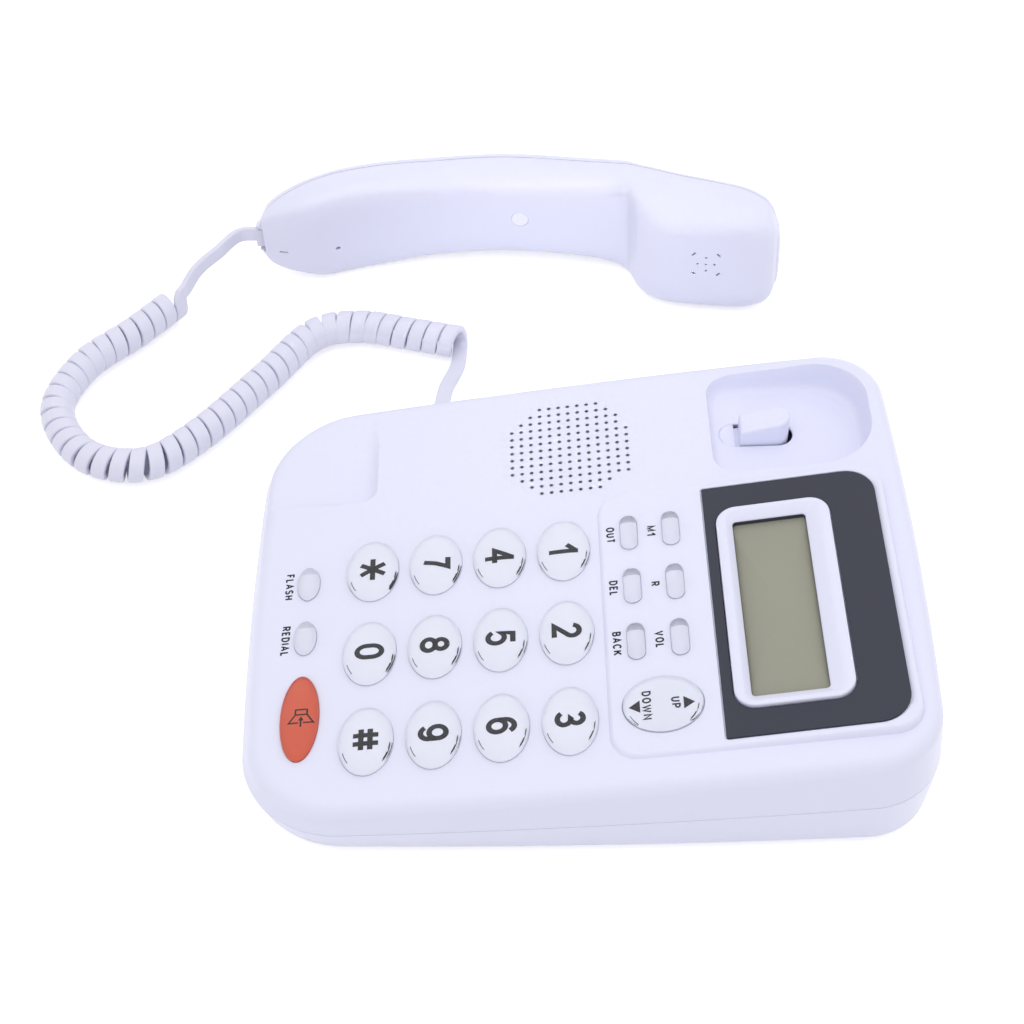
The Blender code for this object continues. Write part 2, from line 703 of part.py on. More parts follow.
def make_display():
    overlay_low = GAP / 2 - OVERLAY_RECESS
    overlay = prisms(
        "display_overlay", [overlay_outline(0.0)], overlay_low, overlay_low + OVERLAY_THICKNESS, DISPLAY
    )
    cut(overlay, prisms("overlay_opening", [frame_outline(GAP)], -WALL, WALL, DISPLAY))
    finish(overlay, DARK)
    flange_top = -display_wall() - GAP
    levels = [(FRAME_FLANGE, -FRAME_DEPTH), (FRAME_FLANGE, flange_top), (0.0, flange_top)]
    levels += [(0.0, FRAME_PROUD - 0.8), (-0.3, FRAME_PROUD - 0.2), (-1.0, FRAME_PROUD)]
    rings = [[(x, y, z) for x, y in frame_outline(grow)] for grow, z in levels]
    frame = loft("lcd_frame", rings, DISPLAY)
    half = (WINDOW_WIDTH / 2, WINDOW_LENGTH / 2)
    splay = []
    for more, z in ((0.0, -FRAME_DEPTH), (0.0, -WINDOW_DEPTH), (WINDOW_SPLAY, FRAME_PROUD)):
        outline = rounded_rectangle(
            half[0] + more, half[1] + more, WINDOW_CORNER + more / 2, WINDOW_CORNER + more / 2
        )
        shift = WINDOW_SHIFT * (1 - more / WINDOW_SPLAY)
        splay.append([(PLATFORM_X + x, FRAME_Y + shift + y, z) for x, y in outline])
    splay.append([(x, y, 2 * FRAME_PROUD) for x, y, _ in splay[-1]])
    cut(frame, loft("window_splay", splay, DISPLAY))
    pocket = (half[0] + GLASS_MARGIN + GAP, half[1] + GLASS_MARGIN + GAP)
    place = (PLATFORM_X, FRAME_Y + WINDOW_SHIFT, 0.0)
    low = -2 * FRAME_DEPTH
    cut(frame, box("glass_pocket", (-pocket[0], -pocket[1], low), (*pocket, -WINDOW_DEPTH), DISPLAY, place))
    finish(frame, WHITE)
    glass_top = -WINDOW_DEPTH - GAP
    glass = (half[0] + GLASS_MARGIN, half[1] + GLASS_MARGIN)
    low = glass_top - GLASS_THICKNESS
    finish(box("lcd_glass", (-glass[0], -glass[1], low), (*glass, glass_top), DISPLAY, place), LCD)


def display_wall():
    """Shell thickness under the rear edge of the window frame, where the facet is highest."""
    reach = FRAME_Y + FRAME_LENGTH / 2 + FRAME_FLANGE
    return WALL + PLATFORM_LIFT + reach * math.tan(math.radians(DISPLAY_TILT_DEG))


def hook_pivot():
    return (HOOK_X, HOOK_SLOT_FRONT - HOOK_REACH, EAR_FLOOR - HOOK_PIVOT_DROP)


def top_shell_posts():
    """Screw posts, board bosses and the two lugs that hold the hook pin."""
    foot = FLOOR_HEIGHT + BOSS_HEIGHT + GAP
    posts = [
        cylinders(f"screw_post_{i}", [(x, y)], POST_RADIUS, foot, post_top(x, y), BASE, segments=16)
        for i, (x, y) in enumerate(SCREW_PLACES, 1)
    ]
    low = board_top() + GAP
    root = -WALL / 2
    posts.append(cylinders("board_bosses", BOARD_BOSSES, BOARD_BOSS_RADIUS, low, root, PANEL, segments=12))
    x, y, z = hook_pivot()
    inner = HOOK_ARM_WIDTH / 2 + GAP
    reach = HOOK_HUB_RADIUS
    root = slope_height(y) - WALL / 2 - z
    for side, name in ((-1, "left_lug"), (1, "right_lug")):
        ends = sorted((side * inner, side * (inner + HOOK_LUG)))
        low, high = (ends[0], -reach, -reach), (ends[1], reach, root)
        posts.append(box(name, low, high, BASE, (x, y, z)))
    return posts


def post_top(x, y):
    """A screw post ends inside the shell above it: the slope or a cradle floor."""
    if abs(x - EAR_X) < EAR_WIDTH / 2 and abs(y - EAR_Y) < EAR_LENGTH / 2:
        return EAR_FLOOR - WALL / 2
    if MOUTH_LEFT < x < MOUTH_RIGHT and y < MOUTH_REAR:
        return MOUTH_FLOOR - WALL / 2
    return slope_height(y) - WALL / 2


def hook_cutters():
    """Slot for the hook tab and the bore for its pin."""
    x, y, z = hook_pivot()
    half_y = HOOK_SLOT_LENGTH / 2
    slot = moved(stadium(HOOK_SLOT_WIDTH / 2, half_y), HOOK_X, HOOK_SLOT_FRONT + half_y)
    reach = HOOK_ARM_WIDTH / 2 + HOOK_LUG + OVERRUN
    bore = cylinders(
        "pin_bore", [(0.0, 0.0)], HOOK_PIN_RADIUS + GAP, -reach, reach, BASE, "X", 16, (x, y, z)
    )
    return prisms("hook_slot", [slot], EAR_FLOOR - 1.5 * WALL, EAR_FLOOR + WALL, BASE), bore


def make_hook():
    """Lever with a round pad and a wedge tab in the slot. Its origin is on its pin."""
    place = hook_pivot()
    floor = HOOK_PIVOT_DROP
    front = HOOK_REACH + HOOK_TAB_FRONT_GAP
    rear = HOOK_REACH + HOOK_SLOT_LENGTH - HOOK_TAB_REAR_GAP
    hub = []
    for step in range(13):
        angle = math.radians(30 + 300 * step / 12)
        hub.append((HOOK_HUB_RADIUS * math.cos(angle), HOOK_HUB_RADIUS * math.sin(angle)))
    arm_end = rear - HOOK_TAB_WIDTH / 2
    outline = [*hub, (arm_end, -HOOK_ARM_HALF), (arm_end, HOOK_ARM_HALF)]
    half = HOOK_ARM_WIDTH / 2
    lever = side_prism("hook_lever", outline, -half, half, BASE, place)
    plan = moved(stadium(HOOK_TAB_WIDTH / 2, (rear - front) / 2), 0.0, (front + rear) / 2)
    tab = prisms("hook_tab", [plan], -HOOK_TAB_ROOT, 2 * floor + HOOK_HIGH_RISE, BASE, place)
    wedge_front = front + HOOK_PAD_LENGTH
    slant = (HOOK_HIGH_RISE - HOOK_LOW_RISE) / (rear - wedge_front)
    past = rear + OVERRUN
    ahead = front - OVERRUN
    above = 4 * (floor + HOOK_HIGH_RISE)
    profile = [(ahead, floor - HOOK_PAD_DROP), (wedge_front, floor - HOOK_PAD_DROP)]
    profile += [(wedge_front, floor + HOOK_LOW_RISE)]
    profile += [(past, floor + HOOK_LOW_RISE + slant * (past - wedge_front)), (past, above), (ahead, above)]
    cut(tab, side_prism("tab_wedge", profile, -HOOK_TAB_WIDTH, HOOK_TAB_WIDTH, BASE, place))
    join(lever, tab)
    reach = HOOK_ARM_WIDTH
    clear = cylinders("lever_bore", [(0.0, 0.0)], HOOK_PIN_RADIUS + GAP, -reach, reach, BASE, "X", 16, place)
    cut(lever, clear)
    finish(lever, WHITE)
    half = HOOK_ARM_WIDTH / 2 + GAP + HOOK_LUG
    pin = cylinders("hook_pin", [(0.0, 0.0)], HOOK_PIN_RADIUS, -half, half, BASE, "X", 16, place)
    finish(pin, STEEL)
    side, length, height = HOOK_SWITCH_SIZE
    left = HOOK_X + HOOK_SLOT_WIDTH / 2 + 4 * GAP
    front = HOOK_SLOT_FRONT + HOOK_SLOT_LENGTH / 2
    top = EAR_FLOOR - WALL - GAP
    switch = box("hook_switch", (left, front, top - height), (left + side, front + length, top), BASE)
    finish(switch, BLACK)


def make_bottom_shell():
    """Tray with a lip that stands inside the top shell, four screw bosses and two jack openings."""
    floor = FLOOR_HEIGHT
    rings = []
    for inset, drop in edge_steps(FLOOR_EDGE_RADIUS, 3)[::-1]:
        rings.append(housing_ring(FLOOR_INSET + inset, lambda y, rise=drop: floor + rise))
    lip_inset = WALL + WALL_DRAFT + GAP
    seam = -GAP / 2
    rings.append(housing_ring(0.0, lambda y: seam_height(y) + seam))
    rings.append(housing_ring(lip_inset, lambda y: seam_height(y) + seam))
    rings.append(housing_ring(lip_inset, lambda y: seam_height(y) + LIP_HEIGHT))
    shell = loft("base_bottom_shell", rings, BASE)
    lip_inner = lip_inset + LIP_THICKNESS
    inner = FLOOR_INSET + WALL
    hollow = [
        housing_ring(inner + FLOOR_EDGE_RADIUS, lambda y: floor + WALL),
        housing_ring(inner, lambda y: floor + WALL + FLOOR_EDGE_RADIUS),
        housing_ring(WALL, lambda y: seam_height(y) - 2.0),
        housing_ring(lip_inner, lambda y: seam_height(y)),
        housing_ring(lip_inner, lambda y: seam_height(y) + 2 * LIP_HEIGHT),
    ]
    cut(shell, loft("bottom_cavity", hollow, BASE))
    boss_low, boss_high = floor + WALL / 2, floor + BOSS_HEIGHT
    join(shell, cylinders("screw_bosses", SCREW_PLACES, BOSS_RADIUS, boss_low, boss_high, BASE))
    seat = screw_head_seat()
    cut(shell, cylinders("head_bores", SCREW_PLACES, SCREW_HEAD_RADIUS + GAP, floor - WALL, seat, BASE))
    cut(shell, cylinders("shank_bores", SCREW_PLACES, SCREW_RADIUS + GAP, floor, screw_top() + GAP, BASE))
    cut(shell, *jack_cutters())
    return finish(shell, WHITE)


def screw_head_seat():
    return FLOOR_HEIGHT + SCREW_HEAD + 2 * GAP


def screw_top():
    return screw_head_seat() + SCREW_LENGTH


def jack_cutters():
    """Openings in the rear and left walls for the line jack and the cord jack."""
    width, depth, height = LINE_JACK_SIZE
    rear = BASE_Y + BASE_LENGTH / 2
    low = (LINE_JACK_X - width / 2 - GAP, rear - 4 * WALL, JACK_HEIGHT - GAP)
    high = (LINE_JACK_X + width / 2 + GAP, rear + WALL, JACK_HEIGHT + height + GAP)
    line = box("line_jack_opening", low, high, BASE)
    depth, width, height = CORD_JACK_SIZE
    left = -BASE_WIDTH / 2
    low = (left - WALL, CORD_JACK_Y - width / 2 - GAP, JACK_HEIGHT - GAP)
    high = (left + 4 * WALL, CORD_JACK_Y + width / 2 + GAP, JACK_HEIGHT + height + GAP)
    return line, box("cord_jack_opening", low, high, BASE)


def make_jacks():
    """Line jack at the rear, cord jack at the left with the cord's plug in it."""
    width, depth, height = LINE_JACK_SIZE
    rear = BASE_Y + BASE_LENGTH / 2 - GAP
    place = (LINE_JACK_X, rear, JACK_HEIGHT + height / 2)
    jack = box("line_jack", (-width / 2, -depth, -height / 2), (width / 2, 0.0, height / 2), BASE, place)
    wide, deep, high = LINE_SOCKET
    socket = box("line_socket", (-wide / 2, -deep, -high / 2), (wide / 2, WALL, high / 2), BASE, place)
    cut(jack, socket)
    finish(jack, BLACK)
    depth, width, height = CORD_JACK_SIZE
    place = cord_jack_place()
    jack = box("handset_jack", (0.0, -width / 2, -height / 2), (depth, width / 2, height / 2), BASE, place)
    long, wide, high = PLUG_SIZE
    low = (-WALL, -wide / 2 - GAP, -high / 2 - GAP)
    top = (long + GAP, wide / 2 + GAP, high / 2 + GAP)
    cut(jack, box("cord_socket", low, top, BASE, place))
    finish(jack, BLACK)
    plug = box("base_plug", (-PLUG_PROUD, -wide / 2, -high / 2), (long, wide / 2, high / 2), BASE, place)
    finish(plug, PLUG_CLEAR)


def cord_jack_place():
    """Middle of the cord jack's outer face."""
    height = CORD_JACK_SIZE[2]
    return (-BASE_WIDTH / 2 + 2 * GAP, CORD_JACK_Y, JACK_HEIGHT + height / 2)


def make_fasteners():
    for i, (x, y) in enumerate(SCREW_PLACES, 1):
        seat = screw_head_seat() - GAP
        head_low = seat - SCREW_HEAD
        profile = ((0.0, head_low), (SCREW_HEAD_RADIUS, head_low), (SCREW_HEAD_RADIUS, seat))
        tip = seat + SCREW_LENGTH
        profile += ((SCREW_RADIUS, seat), (SCREW_RADIUS, tip - SCREW_POINT), (0.0, tip))
        finish(turned(f"base_screw_{i}", profile, BASE, (x, y, 0.0), 10), STEEL)
    for i, (x, y) in enumerate(FOOT_PLACES, 1):
        top = FLOOR_HEIGHT - GAP
        profile = ((0.0, 0.0), (FOOT_RADIUS - 0.5, 0.0), (FOOT_RADIUS, 0.5), (FOOT_RADIUS, top), (0.0, top))
        finish(turned(f"rubber_foot_{i}", profile, BASE, (x, y, 0.0), 14), GREY_RUBBER)


def make_loudspeaker():
    top = -WALL - GAP
    low = top - SPEAKER_DEPTH
    profile = ((0.0, low), (SPEAKER_MAGNET_RADIUS, low), (SPEAKER_MAGNET_RADIUS, low + 0.45 * SPEAKER_DEPTH))
    profile += ((SPEAKER_RADIUS - SPEAKER_RIM, top - SPEAKER_RIM), (SPEAKER_RADIUS, top - SPEAKER_RIM))
    profile += ((SPEAKER_RADIUS, top), (SPEAKER_RADIUS - SPEAKER_RIM, top))
    profile += ((0.4 * SPEAKER_RADIUS, top - 0.35 * SPEAKER_DEPTH), (0.0, top - 0.25 * SPEAKER_DEPTH))
    finish(turned("loudspeaker", profile, PANEL, (GRILLE_X, GRILLE_Y, 0.0), 18), BLACK)


def blend(points, at):
    """Smooth value through (station, value) points, without overshoot between them."""
    stations = [station for station, _ in points]
    index = max(i for i in range(len(points) - 1) if stations[i] <= at or i == 0)
    slopes = []
    for (x0, y0), (x1, y1) in zip(points, points[1:]):
        slopes.append((y1 - y0) / (x1 - x0))

    def tangent(i):
        if i in (0, len(points) - 1):
            return slopes[min(i, len(slopes) - 1)]
        before, after = slopes[i - 1], slopes[i]
        return 0.0 if before * after <= 0 else 2 * before * after / (before + after)

    (x0, y0), (x1, y1) = points[index], points[index + 1]
    span = x1 - x0
    t = (at - x0) / span
    start, end = tangent(index) * span, tangent(index + 1) * span
    return (
        (2 * t**3 - 3 * t**2 + 1) * y0
        + (t**3 - 2 * t**2 + t) * start
        + (3 * t**2 - 2 * t**3) * y1
        + (t**3 - t**2) * end
    )


def profile_value(column, at):
    """Back (1), inner face (2) or half width (3) of the handset at a station."""
    return blend([(row[0], row[column]) for row in HANDSET_PROFILE], at)


def handset_stations():
    """Stations of the profile, with more between those that are far apart."""
    stations = [row[0] for row in HANDSET_PROFILE]
    for start, end in zip(stations, stations[1:]):
        count = math.ceil((end - start) / HANDSET_STEP)
        yield from (start + (end - start) * i / count for i in range(count))
    yield stations[-1]


def handset_rings(wall, count):
    """Superelliptic sections of the handset with count points each, drawn in all round by wall."""
    inset = 2 * wall / HANDSET_LENGTH
    power = 2 / HANDSET_ROUNDNESS
    rings = []
    for station in handset_stations():
        place = station * (1 - inset)
        near = [max(-1.0, min(1.0, place + shift)) for shift in (-inset, 0.0, inset)]
        back = max(profile_value(1, at) for at in near) + wall
        inner = min(profile_value(2, at) for at in near) - wall
        half_width = min(profile_value(3, at) for at in near) - wall
        centre, half_depth = (back + inner) / 2, max((inner - back) / 2, 0.5)
        ring = []
        for i in range(count):
            angle = 2 * math.pi * i / count
            across = math.copysign(abs(math.cos(angle)) ** power, math.cos(angle))
            up = math.copysign(abs(math.sin(angle)) ** power, math.sin(angle))
            ring.append((centre + half_depth * across, place * HANDSET_LENGTH / 2, half_width * up))
        rings.append(ring)
    return rings


def handset_height():
    """Height at which the tilted handset just touches the table."""
    tilt = math.radians(HANDSET_TILT_DEG)
    points = [point for ring in handset_rings(0.0, OUTER_POINTS) for point in ring]
    return -min(y * math.sin(tilt) + z * math.cos(tilt) for _, y, z in points)


def parting_block(name, side, shift):
    """Everything behind (-1) or in front of (1) the joint between the handset's shells."""
    half_length = HANDSET_LENGTH / 2
    past = half_length + OVERRUN
    curve = [(-past, profile_value(1, -1.0) + HANDSET_BACK_SHELL + shift)]
    for station in handset_stations():
        depth = profile_value(1, station) + HANDSET_BACK_SHELL + shift
        curve.append((station * half_length, depth))
    curve.append((past, curve[-1][1]))
    far = side * HANDSET_LENGTH
    outline = [(x, y) for y, x in curve] + [(far, past), (far, -past)]
    return prisms(name, [outline], -HANDSET_LENGTH, HANDSET_LENGTH, HANDSET)


def make_handset_shells():
    """Deep front shell with the ear cup and chin, and a thin back shell, screwed together once."""
    front = loft("handset_front_shell", handset_rings(0.0, OUTER_POINTS), HANDSET)
    back = loft("handset_back_shell", handset_rings(0.0, OUTER_POINTS), HANDSET)
    cavity = loft("handset_cavity", handset_rings(HANDSET_WALL, INNER_POINTS), HANDSET)
    cut(front, cavity, parting_block("back_half", -1, GAP / 2))
    cut(back, cavity, parting_block("front_half", 1, -GAP / 2))
    face, spine = cap_seat()
    middle = (face + spine) / 2
    axis = [(CAP_Y, 0.0)]
    sunk = HANDSET_WALL / 4
    boss = cylinders("front_boss", axis, HANDSET_BOSS_RADIUS, middle + GAP / 2, face - sunk, HANDSET, "X")
    join(front, boss)
    post = cylinders("back_post", axis, HANDSET_POST_RADIUS, spine + sunk, middle - GAP / 2, HANDSET, "X")
    join(back, post)
    bore = CAP_RADIUS + GAP
    cut(front, cylinders("cap_bore", axis, bore, handset_screw_seat(), face + OVERRUN, HANDSET, "X"))
    shank = cylinders("handset_shank_bore", axis, SCREW_RADIUS + GAP, spine + 3.0, face, HANDSET, "X", 14)
    cut(front, shank)
    cut(back, shank)
    depth, length, width = END_JACK_SIZE
    half = (depth / 2 + GAP, width / 2 + GAP)
    low = (END_JACK_X - half[0], -HANDSET_LENGTH / 2 - OVERRUN, -half[1])
    high = (END_JACK_X + half[0], end_jack_front() + length + GAP, half[1])
    pocket = box("end_jack_pocket", low, high, HANDSET)
    cut(front, pocket)
    cut(back, pocket)
    finish(front, WHITE)
    finish(back, WHITE)


def cap_seat():
    """Inner face and spine of the grip at the screw."""
    station = CAP_Y / (HANDSET_LENGTH / 2)
    return profile_value(2, station), profile_value(1, station)


def handset_screw_seat():
    return cap_seat()[0] - CAP_THICKNESS - SCREW_HEAD - 3 * GAP


def end_jack_front():
    return -HANDSET_LENGTH / 2 + 2.0


def seat_behind_face(y, radius):
    """Depth at which a round piece just clears the inside of the handset's inner face."""
    half_length = HANDSET_LENGTH / 2
    reach = radius + HANDSET_WALL
    face = min(profile_value(2, (y + side * reach) / half_length) for side in (-1, 1))
    return face - HANDSET_WALL - 2 * GAP


def make_handset_inside():
    ear_inner = seat_behind_face(RECEIVER_Y, RECEIVER_RADIUS)
    ear_low = ear_inner - RECEIVER_DEPTH
    receiver = cylinders(
        "receiver_capsule", [(RECEIVER_Y, 0.0)], RECEIVER_RADIUS, ear_low, ear_inner, HANDSET, "X"
    )
    finish(receiver, BLACK)
    mouth = seat_behind_face(MICROPHONE_Y, MICROPHONE_RADIUS)
    place = [(MICROPHONE_Y, MICROPHONE_Z)]
    mouth_low = mouth - MICROPHONE_DEPTH
    microphone = cylinders("microphone", place, MICROPHONE_RADIUS, mouth_low, mouth, HANDSET, "X", 16)
    finish(microphone, STEEL)
    thick, length, width = WEIGHT_SIZE
    ends = ((WEIGHT_Y - length / 2), (WEIGHT_Y + length / 2))
    near = (ends[0] - HANDSET_WALL, ends[1] + HANDSET_WALL)
    spine = max(profile_value(1, y / (HANDSET_LENGTH / 2)) for y in near) + HANDSET_WALL + 2 * GAP
    low, high = (spine, ends[0], -width / 2), (spine + thick, ends[1], width / 2)
    finish(box("handset_weight", low, high, HANDSET), STEEL)
    face, _ = cap_seat()
    cap_low = face - CAP_THICKNESS - GAP
    cap = cylinders("handset_screw_cap", [(CAP_Y, 0.0)], CAP_RADIUS, cap_low, face - GAP, HANDSET, "X")
    finish(cap, WHITE)
    seat = handset_screw_seat() + GAP
    profile = ((0.0, -SCREW_LENGTH), (SCREW_RADIUS, SCREW_POINT - SCREW_LENGTH), (SCREW_RADIUS, 0.0))
    profile += ((SCREW_HEAD_RADIUS - GAP, 0.0), (SCREW_HEAD_RADIUS - GAP, SCREW_HEAD), (0.0, SCREW_HEAD))
    finish(turned("handset_screw", profile, HANDSET, (seat, CAP_Y, 0.0), 10, (0.0, 90.0, 0.0)), STEEL)
    make_end_jack()


def make_end_jack():
    """Cord socket in the chin, with the cord's plug in it."""
    depth, length, width = END_JACK_SIZE
    place = (END_JACK_X, end_jack_front(), 0.0)
    low, high = (-depth / 2, 0.0, -width / 2), (depth / 2, length, width / 2)
    jack = box("handset_end_jack", low, high, HANDSET, place)
    thick, long, wide = END_PLUG_SIZE
    inside = end_plug_face() - end_jack_front() + long
    low = (-thick / 2 - GAP, -OVERRUN, -wide / 2 - GAP)
    high = (thick / 2 + GAP, inside + GAP, wide / 2 + GAP)
    cut(jack, box("end_socket", low, high, HANDSET, place))
    finish(jack, BLACK)
    plug_place = (END_JACK_X, end_plug_face(), 0.0)
    plug = box("handset_plug", (-thick / 2, 0.0, -wide / 2), (thick / 2, long, wide / 2), HANDSET, plug_place)
    finish(plug, PLUG_CLEAR)


def end_plug_face():
    return -HANDSET_LENGTH / 2 - 1.5


def smooth_path(points, before, after, step):
    """Points a step apart along a smooth curve through the given ones; before and after set its ends."""
    padded = [before, *points, after]
    fine = []
    for a, b, c, d in zip(padded, padded[1:], padded[2:], padded[3:]):
        for i in range(24):
            t = i / 24
            square = 2 * a - 5 * b + 4 * c - d
            cube = 3 * b - a - 3 * c + d
            fine.append(0.5 * (2 * b + (c - a) * t + square * t**2 + cube * t**3))
    fine.append(points[-1])
    lengths = [0.0]
    for a, b in zip(fine, fine[1:]):
        lengths.append(lengths[-1] + (b - a).length)
    count = max(2, round(lengths[-1] / step))
    path, index = [], 0
    for i in range(count + 1):
        target = lengths[-1] * i / count
        while index < len(fine) - 2 and lengths[index + 1] < target:
            index += 1
        share = (target - lengths[index]) / (lengths[index + 1] - lengths[index])
        path.append(fine[index].lerp(fine[index + 1], share))
    return path


def coil_path():
    """Helix round the coil's route, lying on the table."""
    height = COIL_RADIUS + CORD_RADIUS + COIL_LIFT
    steps = round(COIL_TURNS * COIL_POINTS_PER_TURN)
    route = [Vector((x, y, height)) for x, y in COIL_ROUTE]
    axis = smooth_path(route, 2 * route[0] - route[1], 2 * route[-1] - route[-2], 0.5)
    points = []
    for i in range(steps + 1):
        place = i / steps * (len(axis) - 1)
        index = min(int(place), len(axis) - 2)
        along = (axis[index + 1] - axis[index]).normalized()
        across = Vector((along.y, -along.x, 0.0))
        angle = 2 * math.pi * (COIL_START_TURN + COIL_TURNS * i / steps)
        offset = across * math.cos(angle) + Vector((0, 0, 1)) * math.sin(angle)
        points.append(axis[index].lerp(axis[index + 1], place - index) + COIL_RADIUS * offset)
    return points


def cord_tube(name, points, resolution):
    """A tube along the points, as a curve with filled ends."""
    data = bpy.data.curves.new(name, "CURVE")
    data.dimensions = "3D"
    data.bevel_depth = CORD_RADIUS * MM
    data.bevel_resolution = resolution
    data.use_fill_caps = True
    spline = data.splines.new("POLY")
    spline.points.add(len(points) - 1)
    for slot, point in zip(spline.points, points):
        slot.co = (*(point * MM), 1.0)
    obj = bpy.data.objects.new(name, data)
    obj.parent = BASE
    PARTS.objects.link(obj)
    return finish(obj, WHITE_CORD)


def print_least_gap(points):
    """Least clear gap between two turns of the coil, measured on its points."""
    apart = COIL_POINTS_PER_TURN // 2
    least = min(
        (a - b).length for i, a in enumerate(points) for b in points[i + apart : i + 3 * COIL_POINTS_PER_TURN]
    )
    print(f"least gap between turns of the cord: {least - 2 * CORD_RADIUS:.2f} mm")


def lead_path(start, leave, middle, end, arrive):
    """Points from start to end, straight for one diameter of the cord at both ends."""
    run = 2 * CORD_RADIUS
    points = [start + run * leave, *map(Vector, middle), end - run * arrive]
    before = points[1] - 2 * (points[1] - points[0]).length * leave
    after = points[-2] + 2 * (points[-1] - points[-2]).length * arrive
    return [start, *smooth_path(points, before, after, CORD_LEAD_STEP), end]


def make_cord():
    """Curly cord: a coil and two straight leads to the plugs, end to end."""
    coil = coil_path()
    print_least_gap(coil)
    cord_tube("cord_curls", coil, 1)
    out = Vector((-1, 0, 0))
    start = Vector(cord_jack_place()) + (PLUG_PROUD + GAP) * out
    enter = (coil[1] - coil[0]).normalized()
    lead = lead_path(start, out, BASE_LEAD_ROUTE, coil[0] - GAP * enter, enter)
    cord_tube("cord_base_lead", lead, 2)
    leave = (coil[-1] - coil[-2]).normalized()
    turn = HANDSET.rotation_euler.to_matrix()
    plug = HANDSET.location / MM + turn @ Vector((END_JACK_X, end_plug_face() - GAP, 0.0))
    lead = lead_path(coil[-1] + GAP * leave, leave, HANDSET_LEAD_ROUTE, plug, turn @ Vector((0, 1, 0)))
    cord_tube("cord_handset_lead", lead, 2)


def overall_middle():
    """Middle in plan of the base and the handset together."""
    corners = [Vector(point) for point in housing_ring(0.0, seam_height)]
    turn = Matrix.Rotation(math.radians(HANDSET_YAW_DEG), 3, "Z")
    shift = Vector((*HANDSET_PLACE, 0.0))
    corners += [turn @ Vector(point) + shift for ring in handset_rings(0.0, OUTER_POINTS) for point in ring]
    middles = []
    for axis in range(2):
        values = [corner[axis] for corner in corners]
        middles.append((min(values) + max(values)) / 2)
    return middles


clear_scene()
PARTS = new_collection("corded_telephone")
CUTTERS = new_collection("cutters")

WHITE = new_material("white housing", (0.86, 0.86, 0.92), 0.32)
WHITE_CORD = new_material("white cord", (0.84, 0.84, 0.90), 0.42)
CLEAR = new_material("clear keys", (0.86, 0.88, 0.93), 0.12, transmission=0.6)
RED = new_material("red key", (0.72, 0.07, 0.03), 0.18, transmission=0.3)
DARK = new_material("dark overlay", (0.055, 0.06, 0.075), 0.45)
LCD = new_material("display glass", (0.27, 0.28, 0.21), 0.2)
STEEL = new_material("steel", (0.6, 0.6, 0.62), 0.35, metallic=1.0)
BLACK = new_material("black plastic", (0.03, 0.03, 0.035), 0.5)
GREY_RUBBER = new_material("grey rubber", (0.25, 0.25, 0.27), 0.8)
BOARD_GREEN = new_material("circuit board", (0.05, 0.2, 0.09), 0.5)
PLUG_CLEAR = new_material("plug", (0.8, 0.82, 0.85), 0.15, transmission=0.7)

MIDDLE_X, MIDDLE_Y = overall_middle()
BASE = empty("base", None, (-MIDDLE_X, -MIDDLE_Y, 0.0))
PANEL = empty("key_panel", BASE, (0.0, 0.0, TOP_HEIGHT), (SLOPE_DEG, 0.0, 0.0))
DISPLAY = empty("display_panel", PANEL, (0.0, DISPLAY_FRONT, PLATFORM_LIFT), (DISPLAY_TILT_DEG, 0.0, 0.0))
HANDSET = empty("handset", BASE, (*HANDSET_PLACE, handset_height()), (HANDSET_TILT_DEG, 0.0, HANDSET_YAW_DEG))

make_top_shell()
make_bottom_shell()
make_keys()
make_keypad_layers()
make_display()
make_hook()
make_jacks()
make_fasteners()
make_loudspeaker()
make_handset_shells()
make_handset_inside()
make_cord()
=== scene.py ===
"""Corded desk telephone with its handset laid beside it: fine surfaces, finishes, light and camera.

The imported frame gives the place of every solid. Sizes here are in millimetres in the base's own frame,
with X to the user's right, Y from the dial keys to the display and Z up from the table. They become
metres in the frame's place where a mesh is made.
"""

import json
import logging
import math
from collections.abc import Callable
from dataclasses import dataclass, field
from enum import Enum
from functools import partial

import bmesh
import bpy
import numpy as np
from mathutils import Matrix, Vector, geometry

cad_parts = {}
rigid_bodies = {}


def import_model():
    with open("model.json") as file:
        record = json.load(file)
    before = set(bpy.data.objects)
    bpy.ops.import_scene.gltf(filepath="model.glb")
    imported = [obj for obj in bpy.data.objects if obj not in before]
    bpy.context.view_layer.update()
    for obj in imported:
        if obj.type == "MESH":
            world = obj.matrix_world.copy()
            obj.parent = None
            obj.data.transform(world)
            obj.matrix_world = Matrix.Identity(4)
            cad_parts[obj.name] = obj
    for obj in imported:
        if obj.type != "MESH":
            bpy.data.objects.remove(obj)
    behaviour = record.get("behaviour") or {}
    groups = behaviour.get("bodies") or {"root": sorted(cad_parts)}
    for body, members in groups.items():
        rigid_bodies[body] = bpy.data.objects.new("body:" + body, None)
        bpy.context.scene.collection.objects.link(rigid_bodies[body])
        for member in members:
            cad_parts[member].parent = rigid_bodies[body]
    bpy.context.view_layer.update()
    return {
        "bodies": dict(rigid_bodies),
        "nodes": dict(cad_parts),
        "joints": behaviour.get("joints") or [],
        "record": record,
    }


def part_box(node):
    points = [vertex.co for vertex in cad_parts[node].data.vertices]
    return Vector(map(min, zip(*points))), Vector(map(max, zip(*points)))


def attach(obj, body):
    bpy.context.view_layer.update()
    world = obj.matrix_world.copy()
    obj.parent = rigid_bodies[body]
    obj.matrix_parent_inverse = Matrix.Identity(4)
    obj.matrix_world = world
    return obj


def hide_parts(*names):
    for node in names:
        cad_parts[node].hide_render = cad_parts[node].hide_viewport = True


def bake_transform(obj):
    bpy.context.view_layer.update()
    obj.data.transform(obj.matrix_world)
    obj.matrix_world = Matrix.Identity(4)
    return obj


Array = np.ndarray
Pair = tuple[float, float]
Triple = tuple[float, float, float]
